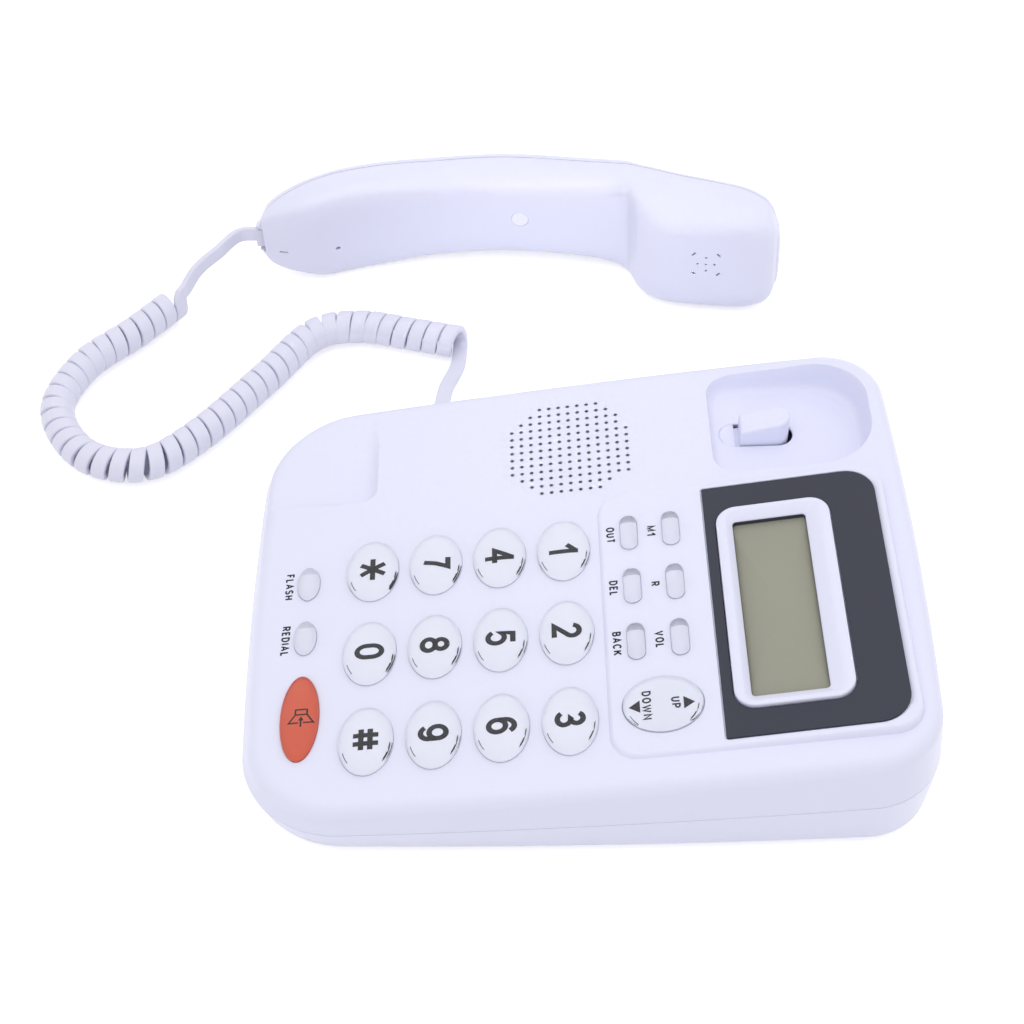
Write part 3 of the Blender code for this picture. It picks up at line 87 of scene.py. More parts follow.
Quad = tuple[float, float, float, float]

LOG = logging.getLogger("desk_telephone")
MM = 0.001
SMOOTH_DEGREES = 38.0
MERGE = 1e-6
FINE_MERGE = 1e-7
# Number of the second finish of a key's plate: real print, and also painted shade and painted reflection.
PRINT_AND_PAINTED_SHADE = 1
QUARTER = math.pi / 2
UP = np.array((0.0, 0.0, 1.0))
# Stands a solid on YZ that stood on XY, with its height along X.
TO_SIDE = np.array(((0.0, 0.0, 1.0), (1.0, 0.0, 0.0), (0.0, 1.0, 0.0)))
SCREW_PLACES = ((-62.0, -78.0), (66.0, -72.0), (-62.0, 79.0), (62.0, 79.0))
FOOT_PLACES = ((-60.0, -56.0), (66.0, -52.0), (-64.0, 58.0), (66.0, 58.0))
CORD_JACK_Y = -43.0
LINE_JACK_X = 30.0


def turn_about_x(degrees: float) -> Array:
    """Rotation matrix about X."""
    c, s = math.cos(math.radians(degrees)), math.sin(math.radians(degrees))
    return np.array(((1.0, 0.0, 0.0), (0.0, c, -s), (0.0, s, c)))


def turn_about_z(degrees: float) -> Array:
    """Rotation matrix about Z."""
    c, s = math.cos(math.radians(degrees)), math.sin(math.radians(degrees))
    return np.array(((c, -s, 0.0), (s, c, 0.0), (0.0, 0.0, 1.0)))


def unit(vectors: Array) -> Array:
    """Vectors scaled to length one along the last axis."""
    return vectors / np.linalg.norm(vectors, axis=-1, keepdims=True)


def at_height(outline: Array, z: float | Array) -> Array:
    """An outline in plan as a ring at one height, or at a height for each of its points."""
    return np.column_stack((outline, np.broadcast_to(z, len(outline))))


def even_angles(count: int) -> Array:
    """The angles of a full turn in even steps."""
    return np.linspace(0.0, 2 * math.pi, count, endpoint=False)


@dataclass(frozen=True)
class Carrier:
    """A tilted frame that carries a sub-assembly.

    Args:
        origin: its place in the base's frame.
        turn: its rotation matrix.
    """

    origin: Triple = (0.0, 0.0, 0.0)
    turn: Array = field(default_factory=partial(np.eye, 3))

    def place(self, points: Array) -> Array:
        """Points of this carrier in the base's frame."""
        return points @ self.turn.T + np.array(self.origin)

    def under(self, origin: Triple, turn: Array) -> "Carrier":
        """A carrier that stands on this one."""
        return Carrier(tuple(self.place(np.array(origin))), self.turn @ turn)


SLOPE_FOOT = 29.0
SLOPE_DEGREES = 7.0
SLOPE = math.radians(SLOPE_DEGREES)
PLATFORM_RISE = 1.2
DISPLAY_START = 38.0
DISPLAY_DEGREES = 1.5
PANEL = Carrier((0.0, 0.0, SLOPE_FOOT), turn_about_x(SLOPE_DEGREES))
DISPLAY = PANEL.under((0.0, DISPLAY_START, PLATFORM_RISE), turn_about_x(DISPLAY_DEGREES))
FRAME_MIDDLE = (21.0, 19.8)
FRAME_HALF = (36.0, 16.5)
FRAME_CORNER = 6.0
OVERLAY_MIDDLE = (21.0, 25.05)
OVERLAY_HALF = (45.1, 25.05)
OVERLAY_CORNERS = (0.6, 9.0)
HOOK_PIN = (-52.0, 27.4, 23.8)
HOOK_SLOT_MIDDLE = (-52.0, 56.7)
HOOK_SLOT_HALF = (4.8, 11.3)
HOOK_SLOT_CORNER = 4.7


@dataclass
class Surface:
    """Points and the faces between them; each array of faces has the number of its finish."""

    points: Array
    faces: list[Array]
    kinds: list[int]

    @classmethod
    def grid(cls, rows: list[Array] | Array, around: bool = True) -> "Surface":
        """Quads between neighbouring rows of a grid.

        Args:
            rows: the rows, each an array of (columns, 3) points.
            around: whether each row closes on itself.

        Returns:
            The open surface, facing outwards where rows run up and columns run counter-clockwise.
        """
        rows = np.stack(rows)
        count, width = rows.shape[:2]
        index = np.arange(count * width).reshape(count, width)
        if around:
            index = np.concatenate((index, index[:, :1]), axis=1)
        corners = (index[:-1, :-1], index[:-1, 1:], index[1:, 1:], index[1:, :-1])
        quads = np.stack(corners, axis=-1).reshape(-1, 4)
        return cls(rows.reshape(-1, 3), [quads], [0])

    @classmethod
    def loft(cls, rings: list[Array] | Array) -> "Surface":
        """A closed body: rings skinned in order, with both ends fanned to their middles.

        Args:
            rings: closed rings of equally many points.

        Returns:
            The closed body.
        """
        made = cls.grid(rings)
        width, size = len(rings[0]), len(made.points)
        middles = np.stack((rings[0].mean(axis=0), rings[-1].mean(axis=0)))
        low = np.arange(width)
        high = low + size - width
        fans = (
            np.stack((np.roll(low, -1), low, np.full(width, size)), axis=1),
            np.stack((high, np.roll(high, -1), np.full(width, size + 1)), axis=1),
        )
        faces = [*made.faces, *fans]
        return cls(np.concatenate((made.points, middles)), faces, [0] * len(faces))

    @classmethod
    def prism(cls, outline: Array, low: float, high: float, edge: float = 0.0) -> "Surface":
        """An outline raised from low to high, its top edge drawn in along a quarter circle.

        Args:
            outline: its points in plan.
            low: height of its foot.
            high: height of its top.
            edge: radius of the quarter circle, or zero for a sharp edge.

        Returns:
            The closed body.
        """
        rings = [at_height(outline, low)]
        if edge == 0.0:
            return cls.loft([*rings, at_height(outline, high)])
        middle = outline.mean(axis=0)
        reach = np.linalg.norm(outline - middle, axis=1, keepdims=True)
        for angle in np.linspace(0.0, QUARTER, 5):
            inset = edge * (1 - math.cos(angle))
            drawn = middle + (outline - middle) * (1 - inset / reach)
            rings.append(at_height(drawn, high - edge + edge * math.sin(angle)))
        return cls.loft(rings)

    @classmethod
    def join(cls, *parts: "Surface") -> "Surface":
        """Several surfaces as one.

        Args:
            parts: the surfaces.

        Returns:
            One surface with the faces of all.
        """
        starts = np.cumsum([0] + [len(part.points) for part in parts[:-1]])
        faces = [array + start for part, start in zip(parts, starts) for array in part.faces]
        kinds = [kind for part in parts for kind in part.kinds]
        return cls(np.concatenate([part.points for part in parts]), faces, kinds)

    def painted(self, kind: int) -> "Surface":
        """This surface with one finish, by its number."""
        return Surface(self.points, self.faces, [kind] * len(self.kinds))

    def moved(self, x: float = 0.0, y: float = 0.0, z: float = 0.0) -> "Surface":
        """This surface shifted."""
        return Surface(self.points + np.array((x, y, z)), self.faces, self.kinds)

    def turned(self, turn: Array) -> "Surface":
        """This surface turned about the origin."""
        return Surface(self.points @ turn.T, self.faces, self.kinds)

    def on(self, carrier: Carrier) -> "Surface":
        """This surface in the base's frame."""
        return Surface(carrier.place(self.points), self.faces, self.kinds)


def ellipse(half: Pair, grow: float = 0.0, count: int = 56) -> Array:
    """Oval outline: its half axes times the cosine and sine of an even angle."""
    angle = even_angles(count)
    return np.stack(((half[0] + grow) * np.cos(angle), (half[1] + grow) * np.sin(angle)), axis=1)


def rounded(
    half: Pair,
    front: float,
    rear: float,
    grow: float = 0.0,
    arc: int = 10,
    runs: tuple[int, int, int, int] = (1, 1, 1, 1),
) -> Array:
    """Rounded rectangle: four quarter circles joined by straight runs.

    Args:
        half: half sizes in X and Y.
        front: corner radius at -Y.
        rear: corner radius at +Y.
        grow: how far the outline is swollen.
        arc: steps in each corner.
        runs: steps along the rear, left, front and right sides.

    Returns:
        Points counter-clockwise from the right end of the rear right corner.
    """
    half_x, half_y = half[0] + grow, half[1] + grow
    corners = []
    for quarter, (side, end) in enumerate(((1, 1), (-1, 1), (-1, -1), (1, -1))):
        radius = max((rear if end > 0 else front) + grow, 0.01)
        angle = math.pi / 2 * (quarter + np.linspace(0.0, 1.0, arc + 1))
        middle = np.array((side * (half_x - radius), end * (half_y - radius)))
        corners.append(middle + radius * np.stack((np.cos(angle), np.sin(angle)), axis=1))
    pieces = []
    for quarter, steps in enumerate(runs):
        start, stop = corners[quarter][-1], corners[(quarter + 1) % 4][0]
        share = np.linspace(0.0, 1.0, steps + 1)[1:-1, None]
        pieces += [corners[quarter], start + (stop - start) * share]
    return np.concatenate(pieces)


def stadium(half: Pair, grow: float = 0.0) -> Array:
    """Straight-sided oval: a rectangle rounded by almost its smaller half size.

    Args:
        half: half sizes in X and Y.
        grow: how far the outline is swollen.

    Returns:
        Its points in order.
    """
    almost = 0.985
    radius = almost * min(half)
    return rounded(half, radius, radius, grow, 14, (3, 3, 3, 3))


def inset_from(
    points: Array, middle: Pair, half: Pair, front: float, rear: float
) -> Array:
    """Distance of points inside a rounded rectangle from its outline, negative outside it.

    Args:
        points: places in plan.
        middle: middle of the rectangle.
        half: its half sizes in X and Y.
        front: corner radius at -Y.
        rear: corner radius at +Y.

    Returns:
        The distance at each point.
    """
    radius = np.where(points[:, 1] > middle[1], rear, front)
    reach = np.abs(points - np.array(middle)) - (np.array(half) - radius[:, None])
    outside = np.linalg.norm(np.maximum(reach, 0.0), axis=1)
    return radius - outside - np.minimum(reach.max(axis=1), 0.0)


def soft_lower(first: Array, second: Array, width: float) -> Array:
    """The lower of two heights, with a rounded edge of this width where they cross."""
    near = np.maximum(width - np.abs(first - second), 0.0) / width
    return np.minimum(first, second) - near**2 * width / 4


def smooth_curve(points: Array, before: Array, after: Array, step: float) -> Array:
    """Even points on a Catmull-Rom curve.

    Args:
        points: the points it passes through.
        before: the point that sets its first direction.
        after: the point that sets its last direction.
        step: spacing along it.

    Returns:
        Points a step apart, ends included.
    """
    steps = 40
    padded = np.concatenate((before[None], points, after[None]))
    t = np.linspace(0.0, 1.0, steps, endpoint=False)[None, :, None]
    a, b, c, d = (padded[i : len(padded) - 3 + i, None] for i in range(4))
    curve = 2 * b + (c - a) * t + (2 * a - 5 * b + 4 * c - d) * t**2 + (3 * b - a - 3 * c + d) * t**3
    fine = np.concatenate((0.5 * curve.reshape(-1, 3), points[-1:]))
    along = np.concatenate(([0.0], np.cumsum(np.linalg.norm(np.diff(fine, axis=0), axis=1))))
    even = np.linspace(0.0, along[-1], max(2, round(along[-1] / step)) + 1)
    return np.stack([np.interp(even, along, fine[:, axis]) for axis in range(3)], axis=1)


def set_inputs(node: bpy.types.Node, **values: float | tuple[float, ...]) -> None:
    """Sets a node's inputs; an underscore in a name stands for a space."""
    for name, value in values.items():
        node.inputs[name.replace("_", " ")].default_value = value


def math_node(
    tree: bpy.types.NodeTree, operation: str, *inputs: float | bpy.types.NodeSocket
) -> bpy.types.NodeSocket:
    """The result of a sum in a node tree.

    Args:
        tree: the tree.
        operation: what the node does.
        inputs: numbers, or outputs of other nodes.

    Returns:
        The node's output.
    """
    node = tree.nodes.new("ShaderNodeMath")
    node.operation = operation
    for socket, value in zip(node.inputs, inputs):
        if isinstance(value, bpy.types.NodeSocket):
            tree.links.new(value, socket)
        else:
            socket.default_value = value
    return node.outputs[0]


class Texture(Enum):
    """Fine surface texture of a finish, as the share of a bump and the size of its grains in metres."""

    POLISHED = (0.010, 0.0060)
    SATIN = (0.045, 0.00055)
    MATT = (0.11, 0.00035)
    RUBBER = (0.22, 0.00060)
    BRUSHED = (0.12, 0.00080)


COAT_GLOSS = 0.12
UNDER_DEPTH = 0.0012
BUMP_DEPTH = 0.0004
DRIFT_COLOUR = (0.25, 0.25, 0.3, 1.0)
UNEVEN_GLOSS = (0.3, 0.85)


@dataclass(frozen=True)
class Finish:
    """One procedural material.

    Args:
        name: its name.
        colour: linear base colour.
        gloss: roughness.
        texture: fine texture.
        drift: share by which the colour varies slowly over the surface.
        metallic: metal or not.
        clear: transmission weight.
        coat: weight of the clear coat.
        ior: index of refraction.
        under: subsurface weight.
        shine: level of the mirror-like reflection.
        glow: painted light that it gives off, for pieces under clear caps, in place of the lamp light that
            the caps hold back.
    """

    name: str
    colour: Triple
    gloss: float
    texture: Texture = Texture.SATIN
    drift: float = 0.04
    metallic: float = 0.0
    clear: float = 0.0
    coat: float = 0.0
    ior: float = 1.5
    under: float = 0.0
    shine: float = 0.5
    glow: float = 0.0

    def material(self, group: bpy.types.NodeTree) -> bpy.types.Material:
        """The material, built round the shared texture group.

        Args:
            group: the shared texture group.

        Returns:
            A new material.
        """
        made = bpy.data.materials.new(self.name)
        made.use_nodes = True
        nodes, links = made.node_tree.nodes, made.node_tree.links
        shader = nodes["Principled BSDF"]
        set_inputs(
            shader,
            Metallic=self.metallic,
            IOR=self.ior,
            Transmission_Weight=self.clear,
            Coat_Weight=self.coat,
            Coat_Roughness=COAT_GLOSS,
            Specular_IOR_Level=self.shine,
            Emission_Color=(*self.colour, 1.0),
            Emission_Strength=self.glow,
            Subsurface_Weight=self.under,
            Subsurface_Radius=(1.0, 1.0, 1.0),
            Subsurface_Scale=UNDER_DEPTH,
        )
        place = nodes.new("ShaderNodeTexCoord")
        detail = nodes.new("ShaderNodeGroup")
        detail.node_tree = group
        share, grain = self.texture.value
        colour = (*self.colour, 1.0)
        set_inputs(detail, Colour=colour, Drift=self.drift, Gloss=self.gloss, Grain=1.0 / grain)
        bump = nodes.new("ShaderNodeBump")
        set_inputs(bump, Strength=share, Distance=BUMP_DEPTH)
        links.new(place.outputs["Object"], detail.inputs["Vector"])
        links.new(detail.outputs["Colour"], shader.inputs["Base Color"])
        links.new(detail.outputs["Roughness"], shader.inputs["Roughness"])
        links.new(detail.outputs["Height"], bump.inputs["Height"])
        links.new(bump.outputs["Normal"], shader.inputs["Normal"])
        return made


WHITE = Finish("white moulded plastic", (0.80, 0.81, 0.975), 0.34, Texture.SATIN, 0.02, coat=0.1, under=0.05)
CORD_WHITE = Finish("white cord", (0.78, 0.78, 0.92), 0.40, Texture.SATIN, 0.05, under=0.06)
# The key plates glow a little: painted light in place of the lamp light that the clear caps hold back.
PLATE = Finish("key plate", (0.88, 0.895, 1.0), 0.45, Texture.SATIN, 0.02, glow=0.12)
PILL_PLATE = Finish("function key plate", (0.87, 0.875, 1.0), 0.5, Texture.SATIN, 0.04, glow=0.05)
# Painted shade for the left ends of the small keys' wells, where the end wall falls in shadow: darker on the
# function keys, lighter on the small oval keys.
PAINTED_SHADE = Finish("shaded end of a key", (0.62, 0.62, 0.72), 0.5, Texture.SATIN, 0.06)
SOFT_PAINTED_SHADE = Finish("lightly shaded end of a key", (0.77, 0.77, 0.88), 0.5, Texture.SATIN, 0.06)
CLEAR = Finish("clear key cap", (0.985, 0.99, 1.0), 0.03, Texture.POLISHED, 0.01, clear=1.0, ior=1.49)
RED_PLATE = Finish("red key plate", (0.91, 0.225, 0.125), 0.4, Texture.SATIN, 0.06)
RED_CLEAR = Finish("red key cap", (0.98, 0.69, 0.63), 0.05, Texture.POLISHED, 0.02, clear=1.0, ior=1.49)
# Dark print, also used for the painted reflection of the shaded gap along the key rims.
INK_AND_PAINTED_REFLECTION = Finish("dark print and painted rim reflection", (0.030, 0.031, 0.037), 0.6, Texture.MATT, 0.08, shine=0.2)
# Dark panel colour, also used for the dark sheet of painted shade down the display window's sides.
DARK = Finish("dark display panel and painted window shade", (0.047, 0.050, 0.070), 0.5, Texture.MATT, 0.06, shine=0.25)
LCD = Finish("display glass", (0.338, 0.336, 0.272), 0.42, Texture.POLISHED, 0.08, shine=0.25)
STEEL = Finish("steel", (0.62, 0.62, 0.64), 0.3, Texture.BRUSHED, 0.08, metallic=1.0)
GOLD = Finish("gold contact", (0.86, 0.62, 0.24), 0.25, Texture.POLISHED, 0.05, metallic=1.0)
BLACK = Finish("black plastic", (0.022, 0.022, 0.026), 0.45, Texture.MATT, 0.1)
RUBBER = Finish("grey rubber", (0.22, 0.22, 0.24), 0.82, Texture.RUBBER, 0.12)
BOARD = Finish("circuit board", (0.04, 0.17, 0.08), 0.4, Texture.SATIN, 0.25)
PLUG = Finish("clear plug", (0.80, 0.81, 0.93), 0.12, Texture.POLISHED, 0.02, clear=0.35, ior=1.55)


def surface_detail_group() -> bpy.types.NodeTree:
    """Shared effect: a slow drift of colour, a little uneven gloss and the height of fine grains.

    Returns:
        A shader node group with Vector, Colour, Drift, Gloss and Grain in and Colour, Roughness and
        Height out.
    """
    tree = bpy.data.node_groups.new("surface detail", "ShaderNodeTree")
    sockets = {
        "INPUT": ("Vector", "Colour", "Drift", "Gloss", "Grain"),
        "OUTPUT": ("Colour", "Roughness", "Height"),
    }
    kinds = {"Vector": "Vector", "Colour": "Color"}
    for side, names in sockets.items():
        for name in names:
            kind = kinds.get(name, "Float")
            tree.interface.new_socket(name, in_out=side, socket_type=f"NodeSocket{kind}")
    nodes, links = tree.nodes, tree.links
    source, sink = nodes.new("NodeGroupInput"), nodes.new("NodeGroupOutput")
    slow, fine = nodes.new("ShaderNodeTexNoise"), nodes.new("ShaderNodeTexNoise")
    set_inputs(slow, Scale=22.0, Detail=3.0)
    set_inputs(fine, Detail=1.0)
    links.new(source.outputs["Vector"], slow.inputs["Vector"])
    links.new(source.outputs["Vector"], fine.inputs["Vector"])
    links.new(source.outputs["Grain"], fine.inputs["Scale"])
    cloud = slow.outputs["Fac"]
    darker = nodes.new("ShaderNodeMix")
    darker.data_type = "RGBA"
    darker.blend_type = "MULTIPLY"
    darker.inputs["B"].default_value = DRIFT_COLOUR
    share = math_node(tree, "MULTIPLY", cloud, source.outputs["Drift"])
    links.new(share, darker.inputs["Factor"])
    links.new(source.outputs["Colour"], darker.inputs["A"])
    uneven = math_node(tree, "MULTIPLY_ADD", cloud, *UNEVEN_GLOSS)
    rough = math_node(tree, "MULTIPLY", source.outputs["Gloss"], uneven)
    links.new(darker.outputs["Result"], sink.inputs["Colour"])
    links.new(rough, sink.inputs["Roughness"])
    links.new(fine.outputs["Fac"], sink.inputs["Height"])
    return tree


class Workbench:
    """Turns surfaces into finished pieces that ride on the frame's bodies."""

    def __init__(self, frame: dict) -> None:
        """Keeps the frame and works out how far the base's origin lies from the frame's.
        """
        self.frame = frame
        self.group = surface_detail_group()
        self.made: dict[Finish, bpy.types.Material] = {}
        low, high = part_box("hook_pin")
        pin = (np.array(low) + np.array(high)) / 2 / MM
        self.shift = pin - np.array(HOOK_PIN)

    def material(self, finish: Finish) -> bpy.types.Material:
        """The one material of a finish.

        Args:
            finish: the finish.

        Returns:
            Its material, made when it is first asked for.
        """
        if finish not in self.made:
            self.made[finish] = finish.material(self.group)
        return self.made[finish]

    def world(self, points: Array) -> Array:
        """Points of the base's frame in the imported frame, in metres."""
        return (points + self.shift) * MM

    def mesh_object(self, name: str, surface: Surface, *finishes: Finish) -> bpy.types.Object:
        """An object at the origin with its place in its mesh.

        Args:
            name: name of the piece.
            surface: its surface in the base's frame.
            finishes: its materials, by the numbers in the surface.

        Returns:
            The new object, smooth where its faces meet gently.
        """
        mesh = bpy.data.meshes.new(name)
        faces = [face for array in surface.faces for face in array.tolist()]
        mesh.from_pydata(self.world(surface.points).tolist(), [], faces)
        kinds = [np.full(len(array), kind) for array, kind in zip(surface.faces, surface.kinds)]
        mesh.polygons.foreach_set("material_index", np.concatenate(kinds).astype(np.int32))
        obj = bpy.data.objects.new(name, mesh)
        bpy.context.scene.collection.objects.link(obj)
        for finish in finishes:
            mesh.materials.append(self.material(finish))
        self.soften(obj)
        return obj

    @staticmethod
    def soften(obj: bpy.types.Object, merge: float = 0.0) -> None:
        """Merges doubles closer than merge, and shades smooth but for sharp edges.

        Args:
            obj: the piece.
            merge: the distance, or 0 to merge nothing.
        """
        mesh = obj.data
        if merge > 0.0:
            bm = bmesh.new()
            bm.from_mesh(mesh)
            bmesh.ops.remove_doubles(bm, verts=bm.verts[:], dist=merge)
            bmesh.ops.recalc_face_normals(bm, faces=bm.faces[:])
            bm.to_mesh(mesh)
            bm.free()
        mesh.polygons.foreach_set("use_smooth", np.ones(len(mesh.polygons), bool))
        mesh.set_sharp_from_angle(angle=math.radians(SMOOTH_DEGREES))
        mesh.update()

    @staticmethod
    def thicken(obj: bpy.types.Object, wall: float) -> None:
        """Gives a skin its wall, inwards.

        Args:
            obj: the piece.
            wall: thickness of the wall.
        """
        solidify = obj.modifiers.new("wall", "SOLIDIFY")
        solidify.thickness = wall * MM
        solidify.offset = -1.0

    def cut(self, obj: bpy.types.Object, cutter: Surface) -> None:
        """Cuts closed bodies out of a piece and keeps the result as its mesh.

        Args:
            obj: the piece.
            cutter: the closed bodies.
        """
        tool = self.mesh_object(f"{obj.name}_cutter", cutter)
        self.soften(tool, MERGE)
        boolean = obj.modifiers.new("openings", "BOOLEAN")
        boolean.operation = "DIFFERENCE"
        boolean.solver = "MANIFOLD"
        boolean.object = tool
        self.bake(obj)
        bpy.data.objects.remove(tool, do_unlink=True)

    def bake(self, obj: bpy.types.Object) -> None:
        """Makes the modified mesh the object's own.

        Args:
            obj: the piece.
        """
        graph = bpy.context.evaluated_depsgraph_get()
        old = obj.data
        obj.data = bpy.data.meshes.new_from_object(obj.evaluated_get(graph))
        obj.modifiers.clear()
        obj.data.name = obj.name
        bpy.data.meshes.remove(old)
        self.soften(obj)

    @staticmethod
    def settle(
        obj: bpy.types.Object, body: str, slot: str | None = None, replaced: tuple[str, ...] = ()
    ) -> bpy.types.Object:
        """Rides a piece on its body and hides the solids that it stands for.

        Args:
            obj: the piece.
            body: name of its body.
            slot: name of its slot, if it has one; not used.
            replaced: names of the solids.

        Returns:
            The same piece.
        """
        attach(obj, body)
        if replaced:
            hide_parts(*replaced)
        LOG.info("%s rides on %s: %d faces", obj.name, body, len(obj.data.polygons))
        return obj

    def dress(self, name: str, finish: Finish) -> None:
        """Gives a solid of the frame that stays on show a finish.

        Args:
            name: name of the solid.
            finish: the finish.
        """
        node = self.frame["nodes"][name]
        node.data.materials.clear()
        node.data.materials.append(self.material(finish))


class SkinPlan:
    """Loops of points in plan, meshed with the fill between them as one sheet over a height function."""

    def __init__(self) -> None:
        """Starts with no points."""
        self.points: list[Array] = []
        self.tops: list[Array] = []
        self.drops: list[Array] = []
        self.holes: list[Array] = []
        self.edges: list[Array] = []
        self.count = 0
        self.hole_count = 0

    def add(
        self,
        points: Array,
        drop: float = 0.0,
        top: Array | None = None,
        hole: int = -1,
        closed: bool = True,
    ) -> None:
        """Adds points, joined in a ring where closed.

        Args:
            points: places in plan.
            drop: how far they lie below the height function.
            top: height that replaces the panel's own, where given.
            hole: number of the hole that they bound, or -1.
            closed: whether faces may not cross the ring.
        """
        size = len(points)
        self.points.append(points)
        self.tops.append(np.full(size, np.nan) if top is None else top)
        self.drops.append(np.full(size, drop))
        self.holes.append(np.full(size, hole))
        if closed:
            index = np.arange(size) + self.count
            self.edges.append(np.stack((index, np.roll(index, -1)), axis=1))
        self.count += size

    def add_hole(self, outline: Callable[[float], Array], rim: tuple[Pair, ...]) -> None:
        """A convex hole with a rounded rim of (grow, drop) rings, the last of which bounds it.

        Args:
            outline: gives the outline swollen by a length.
            rim: the rings, from the outside in.
        """
        for grow, drop in rim[:-1]:
            self.add(outline(grow), drop)
        self.add(outline(rim[-1][0]), rim[-1][1], hole=self.hole_count)
        self.hole_count += 1

    def fill(
        self, pitch: float, low: Array, high: Array, keep: Callable[[Array], Array]
    ) -> None:
        """Fills the free cells of an even grid.

        Args:
            pitch: size of the cells.
            low: least corner of the grid.
            high: greatest corner of the grid.
            keep: says which places may have a point.
        """
        size = np.ceil((high - low) / pitch).astype(int) + 3
        cells = ((np.concatenate(self.points) - low) / pitch).astype(int) + 1
        taken = np.zeros(size, bool)
        taken[cells[:, 0].clip(0, size[0] - 1), cells[:, 1].clip(0, size[1] - 1)] = True
        wide = taken.copy()
        wide[1:] |= taken[:-1]
        wide[:-1] |= taken[1:]
        wide[:, 1:] |= taken[:, :-1]
        wide[:, :-1] |= taken[:, 1:]
        places = (np.argwhere(~wide) - 0.5) * pitch + low
        self.add(places[keep(places)], closed=False)

    def mesh(self, height: Callable[[Array, Array], Array]) -> Surface:
        """Triangles over all points except in the holes.

        Args:
            height: gives the height at places in plan from the places and their own tops.

        Returns:
            The open sheet, facing up.
        """
        flat = np.concatenate(self.points)
        edges = np.concatenate(self.edges).tolist()
        all_triangles, closest = 0, 1e-5
        corners = [Vector(place) for place in flat.tolist()]
        made = geometry.delaunay_2d_cdt(corners, edges, [], all_triangles, closest)
        places = np.array([tuple(p) for p in made[0]])
        source = np.array([origin[0] if origin else -1 for origin in made[3]])
        known = source >= 0
        tops = np.where(known, np.concatenate(self.tops)[source], np.nan)
        drops = np.where(known, np.concatenate(self.drops)[source], 0.0)
        holes = np.where(known, np.concatenate(self.holes)[source], -1)
        faces = np.array([face for face in made[2] if len(face) == 3])
        corner = holes[faces]
        inside = (corner[:, 0] >= 0) & (corner[:, 0] == corner[:, 1]) & (corner[:, 0] == corner[:, 2])
        points = np.column_stack((places, height(places, tops) - drops))
        return Surface(points, [faces[~inside]], [0])


class KeyShape(Enum):
    """Plan of a key."""

    OVAL = "oval"
    PILL = "pill"

    def outline(self, half: Pair, grow: float = 0.0) -> Array:
        """The outline swollen by grow."""
        return ellipse(half, grow) if self is KeyShape.OVAL else stadium(half, grow)


@dataclass(frozen=True)
class Key:
    """One key of the panel.

    Args:
        node: its solid.
        label: what is printed under its cap.
        place: its middle on the slope.
        half: half sizes.
        shape: plan.
        lift: height of the surface round it over the slope.
        rim: height of its rim over that surface.
        crown: height of its crown over that surface.
        plate: height of its printed plate over that surface.
        clearance: how far the opening is larger than it.
    """

    node: str
    label: str
    place: Pair
    half: Pair
    shape: KeyShape = KeyShape.OVAL
    lift: float = 0.0
    rim: float = 0.6
    crown: float = 2.0
    plate: float = -0.8
    clearance: float = -0.08

    def hole(self, grow: float) -> Array:
        """Outline in plan of the opening that it stands in, in the base's frame."""
        outline = self.shape.outline(self.half, self.clearance + grow) + np.array(self.place)
        return PANEL.place(at_height(outline, self.lift))[:, :2]


DIAL_NAMES = ("1", "2", "3", "4", "5", "6", "7", "8", "9", "star", "0", "hash")
DIAL_SIGNS = {"star": "*", "hash": "#"}
DIAL_COLUMNS = (-7.0, 23.7, 54.4)
DIAL_FIRST_ROW = -3.8
DIAL_PITCH = 19.0
DIAL_HALF = (11.4, 7.9)
SMALL_ROW = -80.1
SMALL_PLACES = {"flash_key": -4.7, "redial_key": 15.7}
SMALL_HALF = (6.2, 3.5)
SPEAKER_X = 44.3
SPEAKER_HALF = (14.7, 5.7)
PILL_COLUMNS = (-10.2, 10.0, 30.2)
PILL_ROWS = {15.7: ("out", "delete", "back"), 28.0: ("memory", "recall", "volume")}
PILL_HALF = (6.4, 2.6)
ROCKER_PLACE = (52.6, 21.9)
ROCKER_HALF = (9.3, 11.2)


def panel_keys() -> list[Key]:
    """All the keys, with their places on the slope.

    Returns:
        The dial keys, the small keys, the red key, the pill keys and the rocker.
    """
    keys = []
    for index, name in enumerate(DIAL_NAMES):
        row, column = divmod(index, len(DIAL_COLUMNS))
        place = (DIAL_COLUMNS[column], DIAL_FIRST_ROW - row * DIAL_PITCH)
        keys.append(Key(f"key_{name}", DIAL_SIGNS.get(name, name), place, DIAL_HALF, crown=3.2))
    keys += [Key(name, "", (x, SMALL_ROW), SMALL_HALF) for name, x in SMALL_PLACES.items()]
    keys.append(Key("speaker_key", "", (SPEAKER_X, SMALL_ROW), SPEAKER_HALF))
    for y, names in PILL_ROWS.items():
        for x, name in zip(PILL_COLUMNS, names):
            keys.append(Key(f"{name}_key", "", (x, y), PILL_HALF, KeyShape.PILL, PLATFORM_RISE, plate=-1.4))
    keys.append(Key("rocker_key", "", ROCKER_PLACE, ROCKER_HALF, lift=PLATFORM_RISE, clearance=0.1))
    return keys


@dataclass(frozen=True)
class Ramp:
    """A rise along one axis.

    Args:
        rise: height at its end.
        start: where it begins.
        width: distance from there to its end, negative where it runs the other way.
        most: share of the way at which it stops.
    """

    rise: float
    start: float
    width: float
    most: float = 1.0

    def share(self, values: Array) -> Array:
        """Share of the way from its start to its end."""
        return np.clip((values - self.start) / self.width, 0.0, self.most)

    def height(self, values: Array) -> Array:
        """Height along a parabola."""
        return self.rise * self.share(values) ** 2


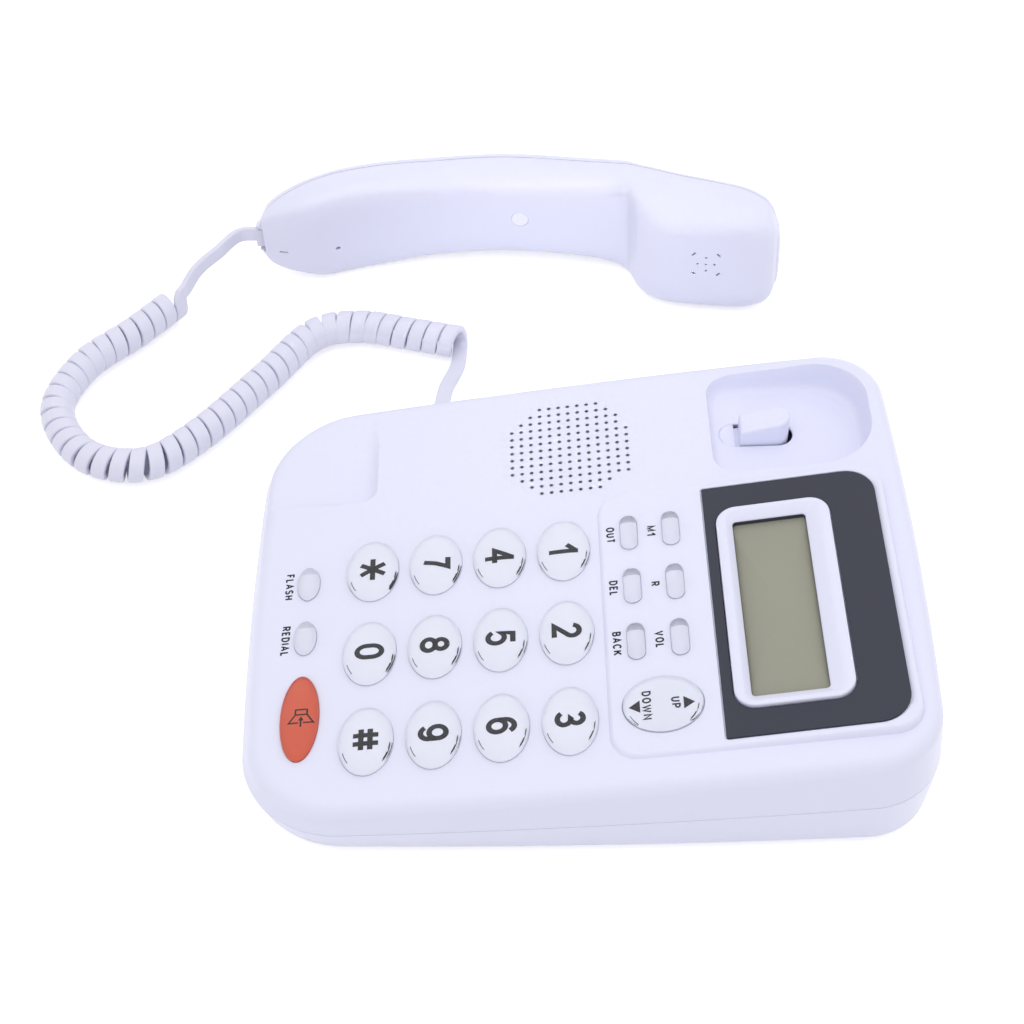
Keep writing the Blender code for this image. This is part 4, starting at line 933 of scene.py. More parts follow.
@dataclass(frozen=True)
class Cradle:
    """A hollow that holds one end of the handset.

    Args:
        middle: its middle in plan.
        half: half sizes.
        corners: corner radii at the front and the rear.
        floor: height of its floor.
        start: inset at which its wall begins to rise.
        fillet: radius of the fillet between floor and wall.
        blend: width of the rounding along its upper edge.
        arc: steps in each corner.
        runs: steps along the rear, left, front and right sides.
        insets: insets of the rings down its wall.
    """

    middle: Pair
    half: Pair
    corners: Pair
    floor: float
    start: float
    fillet: float
    blend: float
    arc: int
    runs: tuple[int, int, int, int]
    insets: tuple[float, ...]

    def ring(self, inset: float) -> Array:
        """Its outline in plan, drawn in by inset."""
        return rounded(self.half, *self.corners, -inset, self.arc, self.runs) + np.array(self.middle)

    def height(self, places: Array) -> Array:
        """Height of its floor, of a circular fillet and of a wall with a steep draft.

        Args:
            places: points in plan.

        Returns:
            The height at each place.
        """
        most = 0.993
        inset = inset_from(places, self.middle, self.half, *self.corners)
        share = np.clip((self.start - inset) / self.fillet, 0.0, None)
        curved = np.minimum(share, most)
        steep = most / math.sqrt(1 - most**2)
        rise = 1 - np.sqrt(1 - curved**2) + steep * np.maximum(share - most, 0.0)
        return self.floor + self.fillet * rise


EAR = Cradle(
    (-51.5, 66.0),
    (21.8, 24.9),
    (9.0, 17.0),
    floor=29.0,
    start=4.7,
    fillet=3.2,
    blend=1.3,
    arc=16,
    runs=(16, 22, 26, 22),
    insets=(5.2, 4.7, 4.0, 3.3, 2.7, 2.2, 1.8, 1.55, 1.35, 1.1, 0.85, 0.6, 0.3, 0.0, -0.4, -0.9),
)
MOUTH = Cradle(
    (-62.75, -84.0),
    (27.25, 24.0),
    (5.0, 5.0),
    floor=16.8,
    start=4.2,
    fillet=3.9,
    blend=1.8,
    arc=10,
    runs=(30, 44, 1, 44),
    insets=(5.0, 4.2, 3.5, 2.8, 2.1, 1.5, 1.05, 0.7, 0.45, 0.2, 0.0, -0.3, -0.8, -1.5),
)
# The mouth cradle's floor rises to the left edge of the base, to the rear and to the right.
SCOOP_LEFT = Ramp(4.8, -40.0, -30.0, math.inf)
SCOOP_REAR = Ramp(1.5, -71.0, 10.0)
SCOOP_REAR_FROM = Ramp(1.0, -78.0, 40.0)
SCOOP_RIGHT = Ramp(0.9, -47.0, 10.0)
# Rims of openings, as rings of (grow, drop).
KEY_RIM = ((0.2, 0.0), (0.08, 0.02), (0.0, 0.12))
SLOT_RIM = ((0.5, 0.0), (0.25, 0.06), (0.08, 0.2), (0.0, 0.45))
FRAME_RIM = ((0.3, 0.0),)
GRILLE_RIM = ((0.2, 0.0), (0.0, 0.13))
# First and last open row in each column of the grille; in the first and last columns no row is open.
GRILLE_FIRST = np.array((9, 3, 2, 1, 0, 0, 0, 0, 0, 0, 0, 1, 2, 4, 9))
GRILLE_LAST = np.array((0, 9, 10, 11, 12, 12, 12, 12, 12, 12, 12, 11, 10, 10, 0))
# Rings of the tray: inset, share of the seam's height, and what is added to it.
TRAY_LEVELS = (
    (0.5, 0.7, 0.45),
    (0.05, 1.0, -0.5),
    (0.35, 1.0, -0.15),
    (2.4, 1.0, -0.15),
    (4.0, 0.0, 6.9),
    (7.0, 0.0, 3.9),
)


@dataclass
class Housing:
    """Upper and lower shells of the base.

    Args:
        keys: the keys that need openings.
    """

    keys: list[Key]
    width: float = 159.6
    length: float = 196.2
    middle_y: float = 0.6
    side_bow: float = 1.8
    side_flare: float = 1.2
    end_bow: float = 2.5
    front_corner: float = 27.0
    rear_corner: float = 19.0
    draft: float = 1.2
    edge: float = 5.0
    wall: float = 2.2
    seam_height: float = 15.4
    seam_degrees: float = 3.4
    seam_gap: float = 0.15
    platform_middle: Pair = (21.0, 49.0)
    platform_half: Pair = (47.8, 42.0)
    platform_corner: float = 8.0
    step_start: float = 0.2
    step_width: float = 1.4
    step_power: float = 2.2
    recess_gap: float = 0.3
    recess_draft: float = 0.1
    recess_depth: float = 0.5
    grille_middle: Pair = (-48.8, -0.8)
    grille_pitch: float = 2.96
    grille_reach: float = 7.75
    grille_hole: float = 0.57
    dimple_rings: tuple[Pair, ...] = ((0.72, 0.0), (0.42, 0.1))
    dimple_depth: float = 0.15
    single_dimple: Pair = (-39.9, -42.6)
    fill_pitch: float = 2.6
    fill_low: Pair = (-82.0, -100.0)
    fill_high: Pair = (82.0, 101.0)
    key_margin: float = 1.2
    margin: float = 1.0

    @staticmethod
    def slope(y: Array) -> Array:
        """Height of the keypad slope."""
        return SLOPE_FOOT + y * math.tan(SLOPE)

    def seam(self, y: Array) -> Array:
        """Height of the joint between the shells."""
        return self.seam_height + y * math.tan(math.radians(self.seam_degrees))

    def ring(self, inset: float) -> Array:
        """Plan outline drawn in by inset: a rounded rectangle whose sides bow out and flare to the rear.

        Args:
            inset: how far it is drawn in.

        Returns:
            Its points in order.
        """
        half = (self.width / 2 - self.side_bow - inset, self.length / 2 - self.end_bow - inset)
        corners = (self.front_corner - inset, self.rear_corner - inset)
        outline = rounded(half, *corners, 0.0, 40, (50, 60, 100, 60))
        along = outline[:, 1] / half[1]
        across = outline[:, 0] / half[0]
        x = outline[:, 0] * (1 + (self.side_bow * (1 - along**2) + self.side_flare * along) / half[0])
        y = self.middle_y + outline[:, 1] * (1 + self.end_bow / half[1] * (1 - across**2))
        return np.stack((x, y), axis=1)

    def inner_half(self, more: float) -> Pair:
        """Half sizes of the top inside its rounded edge, less some more."""
        band = self.draft + self.edge + more
        return self.width / 2 - band, self.length / 2 - band

    @staticmethod
    def slope_place(places: Array) -> Array:
        """Places on the platform, as X and the distance up the slope."""
        up = (places[:, 1] + PLATFORM_RISE * math.sin(SLOPE)) / math.cos(SLOPE)
        return np.stack((places[:, 0], up), axis=1)

    def panel(self, places: Array) -> Array:
        """Height of the slope with the platform on it: a rounded step, a rear that tilts up and a recess.

        Args:
            places: points in plan.

        Returns:
            The height at each place.
        """
        on_slope = self.slope_place(places)
        corner = self.platform_corner
        inset = inset_from(on_slope, self.platform_middle, self.platform_half, corner, corner)
        share = np.clip((inset + self.step_start) / self.step_width, 0.0, 1.0)
        on_display = on_slope - np.array((0.0, DISPLAY_START))
        rear = np.maximum(on_display[:, 1], 0.0) * math.tan(math.radians(DISPLAY_DEGREES))
        lift = (PLATFORM_RISE + rear) / math.cos(SLOPE)
        recess = [size + self.recess_gap for size in (*OVERLAY_HALF, *OVERLAY_CORNERS)]
        overlay = inset_from(on_display, OVERLAY_MIDDLE, tuple(recess[:2]), *recess[2:])
        sunk = np.clip(overlay / self.recess_draft + 0.5, 0.0, 1.0) * self.recess_depth
        return self.slope(places[:, 1]) + lift * (1 - (1 - share) ** self.step_power) - sunk

    @staticmethod
    def scoop(places: Array) -> Array:
        """How far the mouth cradle's floor rises.

        Args:
            places: points in plan.

        Returns:
            The rise at each place.
        """
        x, y = places[:, 0], places[:, 1]
        rear = SCOOP_REAR_FROM.share(x) * SCOOP_REAR.height(y)
        return SCOOP_LEFT.height(x) + rear + SCOOP_RIGHT.height(x)

    def height(self, places: Array, tops: Array) -> Array:
        """Height of the upper shell: the panel or the given tops, with both cradles sunk into them.

        Args:
            places: points in plan.
            tops: a height for each place, or NaN for the panel's.

        Returns:
            The height at each place.
        """
        top = np.where(np.isnan(tops), self.panel(places), tops)
        mouth = MOUTH.height(places) + self.scoop(places)
        return soft_lower(soft_lower(top, EAR.height(places), EAR.blend), mouth, MOUTH.blend)

    def add_edge(self, plan: SkinPlan) -> None:
        """Rings up the drafted wall and round the top edge.

        Args:
            plan: takes the rings.
        """
        for share in (0.0, 0.33, 0.67):
            ring = self.ring(share * self.draft)
            foot = self.seam(ring[:, 1]) + self.seam_gap
            plan.add(ring, top=foot + share * (self.slope(ring[:, 1]) - self.edge - foot))
        for angle in np.linspace(0.0, QUARTER, 9):
            ring = self.ring(self.draft + self.edge * (1 - math.cos(angle)))
            plan.add(ring, top=self.slope(ring[:, 1]) - self.edge * (1 - math.sin(angle)))

    def add_cradles(self, plan: SkinPlan) -> None:
        """Rings down both cradles, where they are clear of the rounded edge.

        Args:
            plan: takes the rings.
        """
        half = self.inner_half(0.25)
        drawn_in = self.width / 2 - half[0]
        corners = (self.front_corner - drawn_in, self.rear_corner - drawn_in)
        for cradle in (EAR, MOUTH):
            for inset in cradle.insets:
                ring = cradle.ring(inset)
                clear = inset_from(ring, (0.0, self.middle_y), half, *corners) > 0.0
                plan.add(ring[clear], closed=bool(clear.all()))

    def add_platform(self, plan: SkinPlan) -> None:
        """Rings up the platform's edge, the step round the overlay and the opening of the display's frame.

        Args:
            plan: takes the rings.
        """
        corner = self.platform_corner
        for inset in (-0.6, -0.2, 0.0, 0.15, 0.35, 0.6, 0.9, 1.2, 1.7):
            outline = rounded(self.platform_half, corner, corner, -inset, 12, (24, 20, 24, 20))
            outline = outline + np.array(self.platform_middle)
            plan.add(PANEL.place(at_height(outline, PLATFORM_RISE))[:, :2])
        for grow in (0.45, 0.30, 0.25, 0.20, 0.05):
            outline = rounded(OVERLAY_HALF, *OVERLAY_CORNERS, grow, 12, (20, 12, 20, 12))
            outline = outline + np.array(OVERLAY_MIDDLE)
            plan.add(DISPLAY.place(at_height(outline, 0.0))[:, :2])
        plan.add_hole(self.frame_opening, FRAME_RIM)

    @staticmethod
    def frame_opening(grow: float) -> Array:
        """Outline in plan of the opening for the display's frame, swollen by grow."""
        outline = rounded(FRAME_HALF, FRAME_CORNER, FRAME_CORNER, grow, 8) + np.array(FRAME_MIDDLE)
        return DISPLAY.place(at_height(outline, 0.0))[:, :2]

    @staticmethod
    def hook_slot(grow: float) -> Array:
        """Outline in plan of the hook's slot, swollen by grow."""
        return stadium(HOOK_SLOT_HALF, grow) + np.array(HOOK_SLOT_MIDDLE)

    def sound_hole(self, grow: float, middle: Array) -> Array:
        """Outline in plan of one hole of the grille, swollen by grow."""
        return ellipse((self.grille_hole, self.grille_hole), grow, 10) + middle

    def grille_cells(self) -> tuple[Array, Array]:
        """Places in plan of the sound holes, and of the blind dimples round them.

        Returns:
            The places of the holes and those of the dimples.
        """
        centre = 6
        column, row = np.meshgrid(np.arange(-1, 14), np.arange(13))
        open_cell = (row >= GRILLE_FIRST[column + 1]) & (row <= GRILLE_LAST[column + 1])
        blind = ~open_cell & (np.hypot(row - centre, column - centre) < self.grille_reach)
        steps = np.stack((row - centre, column - centre), axis=-1) * self.grille_pitch
        flat = np.array((1.0, math.cos(SLOPE)))
        places = (steps + np.array(self.grille_middle)) * flat
        single = np.array((self.single_dimple,)) * flat
        return places[open_cell], np.concatenate((places[blind], single))

    def add_grille(self, plan: SkinPlan) -> None:
        """Sound holes through the shell, and the shallow dimples.

        Args:
            plan: takes the rings.
        """
        holes, dimples = self.grille_cells()
        for middle in holes:
            plan.add_hole(partial(self.sound_hole, middle=middle), GRILLE_RIM)
        for middle in dimples:
            for radius, drop in self.dimple_rings:
                plan.add(ellipse((radius, radius), 0.0, 8) + middle, drop)
            plan.add(middle[None], self.dimple_depth, closed=False)

    def free(self, places: Array) -> Array:
        """Which places in plan are clear of the rounded edge and of the openings.

        Args:
            places: points in plan.

        Returns:
            True for each place that is clear.
        """
        corners = (self.front_corner, self.rear_corner)
        inside = inset_from(places, (0.0, self.middle_y), self.inner_half(0.6), *corners) > 0.5
        for key in self.keys:
            reach = (places - key.hole(0.0).mean(axis=0)) / (np.array(key.half) + self.key_margin)
            inside &= (reach**2).sum(axis=1) > 1.0
        window = tuple(DISPLAY.place(np.array((*FRAME_MIDDLE, 0.0)))[:2])
        openings = (
            (HOOK_SLOT_MIDDLE, HOOK_SLOT_HALF, HOOK_SLOT_CORNER),
            (window, FRAME_HALF, FRAME_CORNER),
        )
        for middle, half, corner in openings:
            inside &= inset_from(places, middle, half, corner, corner) < -self.margin
        return inside

    def build_top(self, bench: Workbench) -> bpy.types.Object:
        """The upper shell as one skin with a wall.

        Args:
            bench: makes and settles the pieces.

        Returns:
            The upper shell.
        """
        plan = SkinPlan()
        self.add_edge(plan)
        self.add_cradles(plan)
        self.add_platform(plan)
        self.add_grille(plan)
        for key in self.keys:
            plan.add_hole(key.hole, KEY_RIM)
        plan.add_hole(self.hook_slot, SLOT_RIM)
        plan.fill(self.fill_pitch, np.array(self.fill_low), np.array(self.fill_high), self.free)
        shell = bench.mesh_object("base_top_skin", plan.mesh(self.height), WHITE)
        bench.thicken(shell, self.wall)
        bench.bake(shell)
        return bench.settle(shell, "base", "white_housing", ("base_top_shell",))

    def build_bottom(self, bench: Workbench) -> bpy.types.Object:
        """The tray: rings up the outer wall, over the seam and down inside, then its openings.

        Args:
            bench: makes and settles the pieces.

        Returns:
            The tray.
        """
        floor, inset, radius = 1.5, 1.6, 3.0
        rings = []
        for angle in np.linspace(QUARTER, 0.0, 7):
            ring = self.ring(inset + radius * (1 - math.cos(angle)))
            rings.append(at_height(ring, floor + radius * (1 - math.sin(angle))))
        for step_in, share, more in TRAY_LEVELS:
            ring = self.ring(step_in)
            rings.append(at_height(ring, share * self.seam(ring[:, 1]) + more))
        tray = bench.mesh_object("base_bottom_tray", Surface.loft(rings), WHITE)
        bore = Surface.prism(ellipse((3.3, 3.3), 0.0, 28), -1.0, 4.1)
        left, rear = -77.0, self.middle_y + self.length / 2
        inside, corner = TRAY_LEVELS[-1][-1], 0.6
        cord_slot = Surface.prism(rounded((7.2, 5.5), corner, corner, 0.0, 4), inside, 12.5)
        line_slot = Surface.prism(rounded((6.3, 6.0), corner, corner, 0.0, 4), inside, 14.5)
        slots = (cord_slot.moved(left, CORD_JACK_Y), line_slot.moved(LINE_JACK_X, rear))
        bench.cut(tray, Surface.join(*(bore.moved(x, y) for x, y in SCREW_PLACES), *slots))
        return bench.settle(tray, "base", "white_housing", ("base_bottom_shell",))


# Each sign has its width and its strokes, on a square whose side is the cap height. A stroke is a row of
# points (x, y) and of arcs (middle x, middle y, half width, half height, first angle, last angle).
GLYPHS = {
    "0": (
        0.66,
        (((0.0, 0.6), (0.5, 0.62, 0.5, 0.38, 180, 0), (0.5, 0.38, 0.5, 0.38, 0, -180), (0.0, 0.62)),),
    ),
    "1": (0.50, (((0.0, 0.64), (0.9, 1.02)), ((0.9, 1.1), (0.9, -0.1)))),
    "2": (0.66, (((0.5, 0.72, 0.47, 0.28, 170, -38), (0.02, 0.0), (1.0, 0.0)),)),
    "3": (0.66, (((0.47, 0.755, 0.43, 0.245, 155, -90), (0.47, 0.265, 0.5, 0.265, 85, -155)),)),
    "4": (0.66, (((0.72, 1.06), (0.0, 0.3), (1.15, 0.3)), ((0.72, 1.1), (0.72, -0.1)))),
    "5": (0.66, (((0.93, 1.0), (0.16, 1.0), (0.08, 0.52), (0.48, 0.33, 0.5, 0.33, 128, -152)),)),
    "6": (0.66, (((0.5, 0.33, 0.5, 0.33, 180, 540),), ((0.0, 0.33), (0.5, 0.67, 0.5, 0.33, 180, 30)))),
    "7": (0.60, (((0.0, 1.0), (1.0, 1.0), (0.6, 0.5), (0.38, 0.0)),)),
    "8": (0.66, (((0.5, 0.76, 0.43, 0.24, 90, 450),), ((0.5, 0.265, 0.5, 0.265, 90, 450),))),
    "9": (0.66, (((0.5, 0.67, 0.5, 0.33, 0, 360),), ((1.0, 0.67), (0.5, 0.33, 0.5, 0.33, 0, -150)))),
    "*": (1.00, (((-0.07, 0.5), (1.07, 0.5)), ((0.22, 0.0), (0.78, 1.0)), ((0.22, 1.0), (0.78, 0.0)))),
    "#": (
        1.00,
        (
            ((0.3, 0.0), (0.3, 1.0)),
            ((0.7, 0.0), (0.7, 1.0)),
            ((0.0, 0.32), (1.0, 0.32)),
            ((0.0, 0.68), (1.0, 0.68)),
        ),
    ),
    "A": (0.74, (((0.0, 0.0), (0.5, 1.0), (1.0, 0.0)), ((0.18, 0.32), (0.82, 0.32)))),
    "B": (
        0.64,
        (
            ((0.0, 0.0), (0.0, 1.0), (0.52, 0.76, 0.42, 0.24, 90, -90), (0.0, 0.52)),
            ((0.52, 0.26, 0.48, 0.26, 90, -90), (0.0, 0.0)),
        ),
    ),
    "C": (0.70, (((0.52, 0.5, 0.52, 0.5, 42, 318),),)),
    "D": (0.68, (((0.0, 0.0), (0.0, 1.0), (0.42, 0.5, 0.58, 0.5, 90, -90), (0.0, 0.0)),)),
    "E": (0.58, (((1.0, 1.0), (0.0, 1.0), (0.0, 0.0), (1.0, 0.0)), ((0.0, 0.52), (0.85, 0.52)))),
    "F": (0.56, (((1.0, 1.0), (0.0, 1.0), (0.0, 0.0)), ((0.0, 0.5), (0.85, 0.5)))),
    "H": (0.66, (((0.0, 0.0), (0.0, 1.0)), ((1.0, 0.0), (1.0, 1.0)), ((0.0, 0.5), (1.0, 0.5)))),
    "I": (0.18, (((0.5, 0.0), (0.5, 1.0)),)),
    "K": (0.68, (((0.0, 0.0), (0.0, 1.0)), ((1.0, 1.0), (0.0, 0.38)), ((0.36, 0.6), (1.0, 0.0)))),
    "L": (0.54, (((0.0, 1.0), (0.0, 0.0), (1.0, 0.0)),)),
    "M": (0.84, (((0.0, 0.0), (0.0, 1.0), (0.5, 0.08), (1.0, 1.0), (1.0, 0.0)),)),
    "N": (0.68, (((0.0, 0.0), (0.0, 1.0), (1.0, 0.0), (1.0, 1.0)),)),
    "O": (0.74, (((0.5, 0.5, 0.5, 0.5, 90, 450),),)),
    "P": (0.62, (((0.0, 0.0), (0.0, 1.0), (0.52, 0.73, 0.48, 0.27, 90, -90), (0.0, 0.46)),)),
    "R": (
        0.66,
        (((0.0, 0.0), (0.0, 1.0), (0.52, 0.73, 0.46, 0.27, 90, -90), (0.0, 0.46)), ((0.5, 0.46), (1.0, 0.0))),
    ),
    "S": (0.62, (((0.5, 0.75, 0.46, 0.25, 28, 270), (0.5, 0.25, 0.5, 0.25, 90, -155)),)),
    "T": (0.62, (((0.0, 1.0), (1.0, 1.0)), ((0.5, 1.0), (0.5, 0.0)))),
    "U": (0.66, (((0.0, 1.0), (0.5, 0.4, 0.5, 0.4, 180, 360), (1.0, 1.0)),)),
    "V": (0.72, (((0.0, 1.0), (0.5, 0.0), (1.0, 1.0)),)),
    "W": (1.02, (((0.0, 1.0), (0.26, 0.0), (0.5, 0.9), (0.74, 0.0), (1.0, 1.0)),)),
}


PRINT_THICK = 0.05
# Painted dark arcs along the rim of a key, a painted reflection of the shaded gap under the rim seen through
# the clear cap: first and last angle, share by which they are drawn in, and width.
PAINTED_RIM_ARCS = (
    (44.0, 86.0, 0.0, 0.09),
    (48.0, 65.0, 0.01, 0.24),
    (72.0, 83.0, 0.008, 0.18),
    (-70.0, -46.0, -0.01, 0.13),
)
PAINTED_RIM_SHARE = 0.775
ROCKER_PAINTED_RIM_SHARE = 0.85
# Places up the slope on the rocker, of its words and of its arrows by the way that they point.
ROCKER_WORDS = {"UP": 3.4, "DOWN": -4.4}
ROCKER_ARROWS = {1.0: 6.9, -1.0: -7.7}
ARROW_X = 0.2
# The painted shade at the end of a small key's well, where its end wall falls in shadow: how far its outline
# is swollen, and the share of it where the painted shade starts.
PAINTED_SHADE_GROW = {KeyShape.PILL: -0.3, KeyShape.OVAL: -0.85}
PAINTED_SHADE_START = 0.66


@dataclass(frozen=True)
class Lettering:
    """Printed digits and words: strokes of even width, as thin solids.

    Args:
        weight: width of a stroke as a share of the cap height.
        gap: space between letters as a share of the cap height.
        thick: thickness of the print.
    """

    weight: float = 0.15
    gap: float = 0.17
    thick: float = PRINT_THICK

    @staticmethod
    def trace(stroke: tuple[tuple[float, ...], ...]) -> Array:
        """Points along a stroke: its points as they are, its arcs as the cosine and sine of even angles.

        Args:
            stroke: points, and arcs by their middle, half axes and first and last angle in degrees.

        Returns:
            The points in order, without doubles.
        """
        parts = []
        for item in stroke:
            if len(item) == 2:
                parts.append(np.array([item]))
                continue
            x, y, half_x, half_y, first, last = item
            angle = np.radians(np.linspace(first, last, 3 + round(abs(last - first) / 12)))
            parts.append(np.stack((x + half_x * np.cos(angle), y + half_y * np.sin(angle)), axis=1))
        line = np.concatenate(parts)
        apart = np.linalg.norm(np.diff(line, axis=0), axis=1) > MERGE
        return line[np.concatenate(([True], apart))]

    def ribbon(self, line: Array, width: float) -> Surface:
        """A flat strip along a line: each point is set off to both sides along its mitre.

        Args:
            line: the points of its middle.
            width: how wide it is.

        Returns:
            A closed surface that stands on the XY plane.
        """
        way = unit(np.diff(line, axis=0))
        side = np.stack((-way[:, 1], way[:, 0]), axis=1)
        first, last = np.concatenate((side[:1], side)), np.concatenate((side, side[-1:]))
        mitre = unit(first + last)
        reach = width / 2 / np.maximum((mitre * first).sum(axis=1, keepdims=True), 0.45)
        left, right = line + mitre * reach, line - mitre * reach
        low, high = np.zeros((len(line), 1)), np.full((len(line), 1), self.thick)
        corners = ((right, low), (left, low), (left, high), (right, high))
        rows = np.stack([np.concatenate((flat, z), axis=1) for flat, z in corners], axis=1)
        return Surface.loft(rows)

    def print(self, words: str, cap: float) -> Surface:
        """Words of a cap height, centred on the origin.

        Args:
            words: what is printed.
            cap: height of a capital.

        Returns:
            All strokes as one surface.
        """
        widths = [GLYPHS[sign][0] for sign in words]
        starts = np.cumsum([0.0] + [width + self.gap for width in widths[:-1]])
        total = starts[-1] + widths[-1]
        parts = []
        for sign, start in zip(words, starts):
            width, strokes = GLYPHS[sign]
            room = np.array((width - self.weight, 1.0 - self.weight))
            corner = np.array((start - total / 2, -0.5)) + self.weight / 2
            parts += [self.ribbon((corner + self.trace(s) * room) * cap, self.weight * cap) for s in strokes]
        return Surface.join(*parts)


@dataclass
class Keypad:
    """Clear domed keys over plates with print, painted shade and painted rim reflections, and the words
    printed on the shell.

    Args:
        keys: the keys.
        digits: printer of the dial keys' signs.
        words: printer of words.
    """

    keys: list[Key]
    digits: Lettering = Lettering(0.178)
    words: Lettering = Lettering(0.19, 0.19)
    flange: float = 1.0
    flange_low: float = -3.9
    flange_high: float = -2.7
    swell: float = -0.14
    digit_cap: float = 8.0
    digit_shift: Pair = (-0.4, 0.0)
    word_cap: float = 2.5
    print_gap: float = 0.01
    foot: float = 0.6
    foot_edge: float = 0.15
    shoulder: float = 0.12
    dome_degrees: tuple[float, ...] = (6, 12, 20, 30, 40, 50, 60, 68, 76, 83, 88)
    plate_rim: float = 0.25
    plate_wall: float = -0.2
    hollow_start: float = -0.3
    hollow_share: float = 0.15
    small_limit: float = 7.0

    def cap_surface(self, key: Key) -> Surface:
        """A clear cap: a wall up to the rim, a small shoulder and a dome along a quarter ellipse.

        Args:
            key: the key.

        Returns:
            The closed cap.
        """
        base = key.lift + key.plate - self.foot
        rim, crown = key.lift + key.rim, key.lift + key.crown
        edge = self.foot_edge
        levels = ((edge, base), (0.0, base + edge), (0.0, rim - self.shoulder))
        rings = [at_height(key.shape.outline(key.half, self.swell - inset), z) for inset, z in levels]
        outline = key.shape.outline(key.half, self.swell)
        for angle in np.radians(self.dome_degrees):
            rings.append(at_height(outline * math.cos(angle), rim + (crown - rim) * math.sin(angle)))
        return Surface.loft(rings).moved(*key.place)

    def plate_surface(self, key: Key) -> Surface:
        """The opaque button under the cap: a flange, a wall and a quarter ellipse down to a flat floor.

        Args:
            key: the key.

        Returns:
            The closed button.
        """
        top, rim = key.lift + key.plate, key.lift + self.plate_rim
        curve = 0.0 if key.shape is KeyShape.PILL else self.hollow_share * min(key.half)
        levels = [
            (self.flange, self.flange_low),
            (self.flange, self.flange_high),
            (self.plate_wall, self.flange_high),
            (self.plate_wall, rim),
        ]
        for angle in np.linspace(0.0, QUARTER, 6):
            grow = self.hollow_start - curve * (1 - math.cos(angle))
            levels.append((grow, rim - (rim - top) * math.sin(angle)))
        rings = [at_height(key.shape.outline(key.half, grow), z) for grow, z in levels]
        return Surface.loft(rings).moved(*key.place)

    def print_and_painted_shade_on(self, key: Key) -> list[Surface]:
        """What is printed on a key's plate, and the painted shade and painted rim reflection on it, in its
        second finish.

        Args:
            key: the key.

        Returns:
            The marks, at their place on the key.
        """
        if key.label:
            sign = self.digits.print(key.label, self.digit_cap).moved(*self.digit_shift)
            marks = [sign, self.painted_rim_reflection(key)]
        elif key.node == "speaker_key":
            marks = [self.loudspeaker_sign()]
        elif key.node == "rocker_key":
            marks = [self.words.print(word, self.word_cap).moved(0.0, y) for word, y in ROCKER_WORDS.items()]
            marks += [self.arrow(way).moved(ARROW_X, y) for way, y in ROCKER_ARROWS.items()]
            marks.append(self.painted_rim_reflection(key))
        else:
            # Painted shade at the end of the key's well.
            marks = [self.painted_end_shade(key)]
        level = key.lift + key.plate + self.print_gap
        return [mark.painted(PRINT_AND_PAINTED_SHADE).moved(*key.place, level) for mark in marks]

    def painted_rim_reflection(self, key: Key) -> Surface:
        """Painted dark arcs, a painted reflection of the shaded gap under a cap's rim: ribbons along parts of
        its outline.

        Args:
            key: the key.

        Returns:
            All ribbons as one surface.
        """
        share = ROCKER_PAINTED_RIM_SHARE if key.node == "rocker_key" else PAINTED_RIM_SHARE
        parts = []
        for first, last, inset, width in PAINTED_RIM_ARCS:
            angle = np.radians(np.linspace(first, last, 12))
            oval = np.stack((key.half[0] * np.cos(angle), key.half[1] * np.sin(angle)), axis=1)
            parts.append(self.words.ribbon(oval * (share - inset), width))
        return Surface.join(*parts)

    @staticmethod
    def painted_end_shade(key: Key) -> Surface:
        """Painted shade at the end of a small key's well, where its end wall falls in shadow: the part of its
        outline beyond a line near the left end.
        """
        outline = key.shape.outline(key.half, PAINTED_SHADE_GROW[key.shape])
        return Surface.prism(outline[outline[:, 0] < -PAINTED_SHADE_START * outline[:, 0].max()], 0.0, PRINT_THICK)

    @staticmethod
    def arrow(way: float) -> Surface:
        """A solid triangle that points up the slope or down it."""
        outline = np.array(((-2.0, -1.4), (2.0, -1.4), (0.0, 1.6))) * np.array((1.0, way))
        return Surface.prism(outline[:: int(way)], 0.0, PRINT_THICK)

    def loudspeaker_sign(self) -> Surface:
        """Outline of a loudspeaker seen from the side, with an arrow out of it; its top points to -X.

        Returns:
            All strokes as one surface.
        """
        lines = (
            ((-3.2, 1.9), (-3.2, -1.9), (-1.1, -1.9), (-1.1, 1.9), (-3.2, 1.9)),
            ((-1.1, -1.9), (2.2, -4.0), (2.2, -0.8)),
            ((2.2, 0.8), (2.2, 4.0), (-1.1, 1.9)),
            ((3.9, 0.0), (0.2, 0.0)),
            ((1.3, -0.6), (0.2, 0.0), (1.3, 0.6)),
        )
        size, width, place = 0.83, 0.44, (-0.4, 0.4)
        strokes = [self.words.ribbon(size * np.array(line), width) for line in lines]
        return Surface.join(*strokes).moved(*place)

    def build(self, bench: Workbench) -> None:
        """All keys, each a clear cap and a plate with its print and painted shade on the key's body.

        Args:
            bench: makes and settles the pieces.
        """
        for key in self.keys:
            red, pill = key.node == "speaker_key", key.shape is KeyShape.PILL
            small = key.half[0] < self.small_limit
            body = "rocker" if key.node == "rocker_key" else f"{key.node}_cap"
            cap_finish, slot = (RED_CLEAR, "red_key") if red else (CLEAR, "clear_key")
            plate_finish = RED_PLATE if red else PILL_PLATE if small else PLATE
            # The second finish is dark print, or painted shade at the end of a small key's well.
            print_or_painted_shade_finish = PAINTED_SHADE if pill else SOFT_PAINTED_SHADE if small else INK_AND_PAINTED_REFLECTION
            clear = bench.mesh_object(f"{key.node}_clear", self.cap_surface(key).on(PANEL), cap_finish)
            bench.settle(clear, body, slot, (key.node,))
            plate = Surface.join(self.plate_surface(key), *self.print_and_painted_shade_on(key)).on(PANEL)
            printed = bench.mesh_object(f"{key.node}_plate", plate, plate_finish, print_or_painted_shade_finish)
            bench.settle(printed, body)

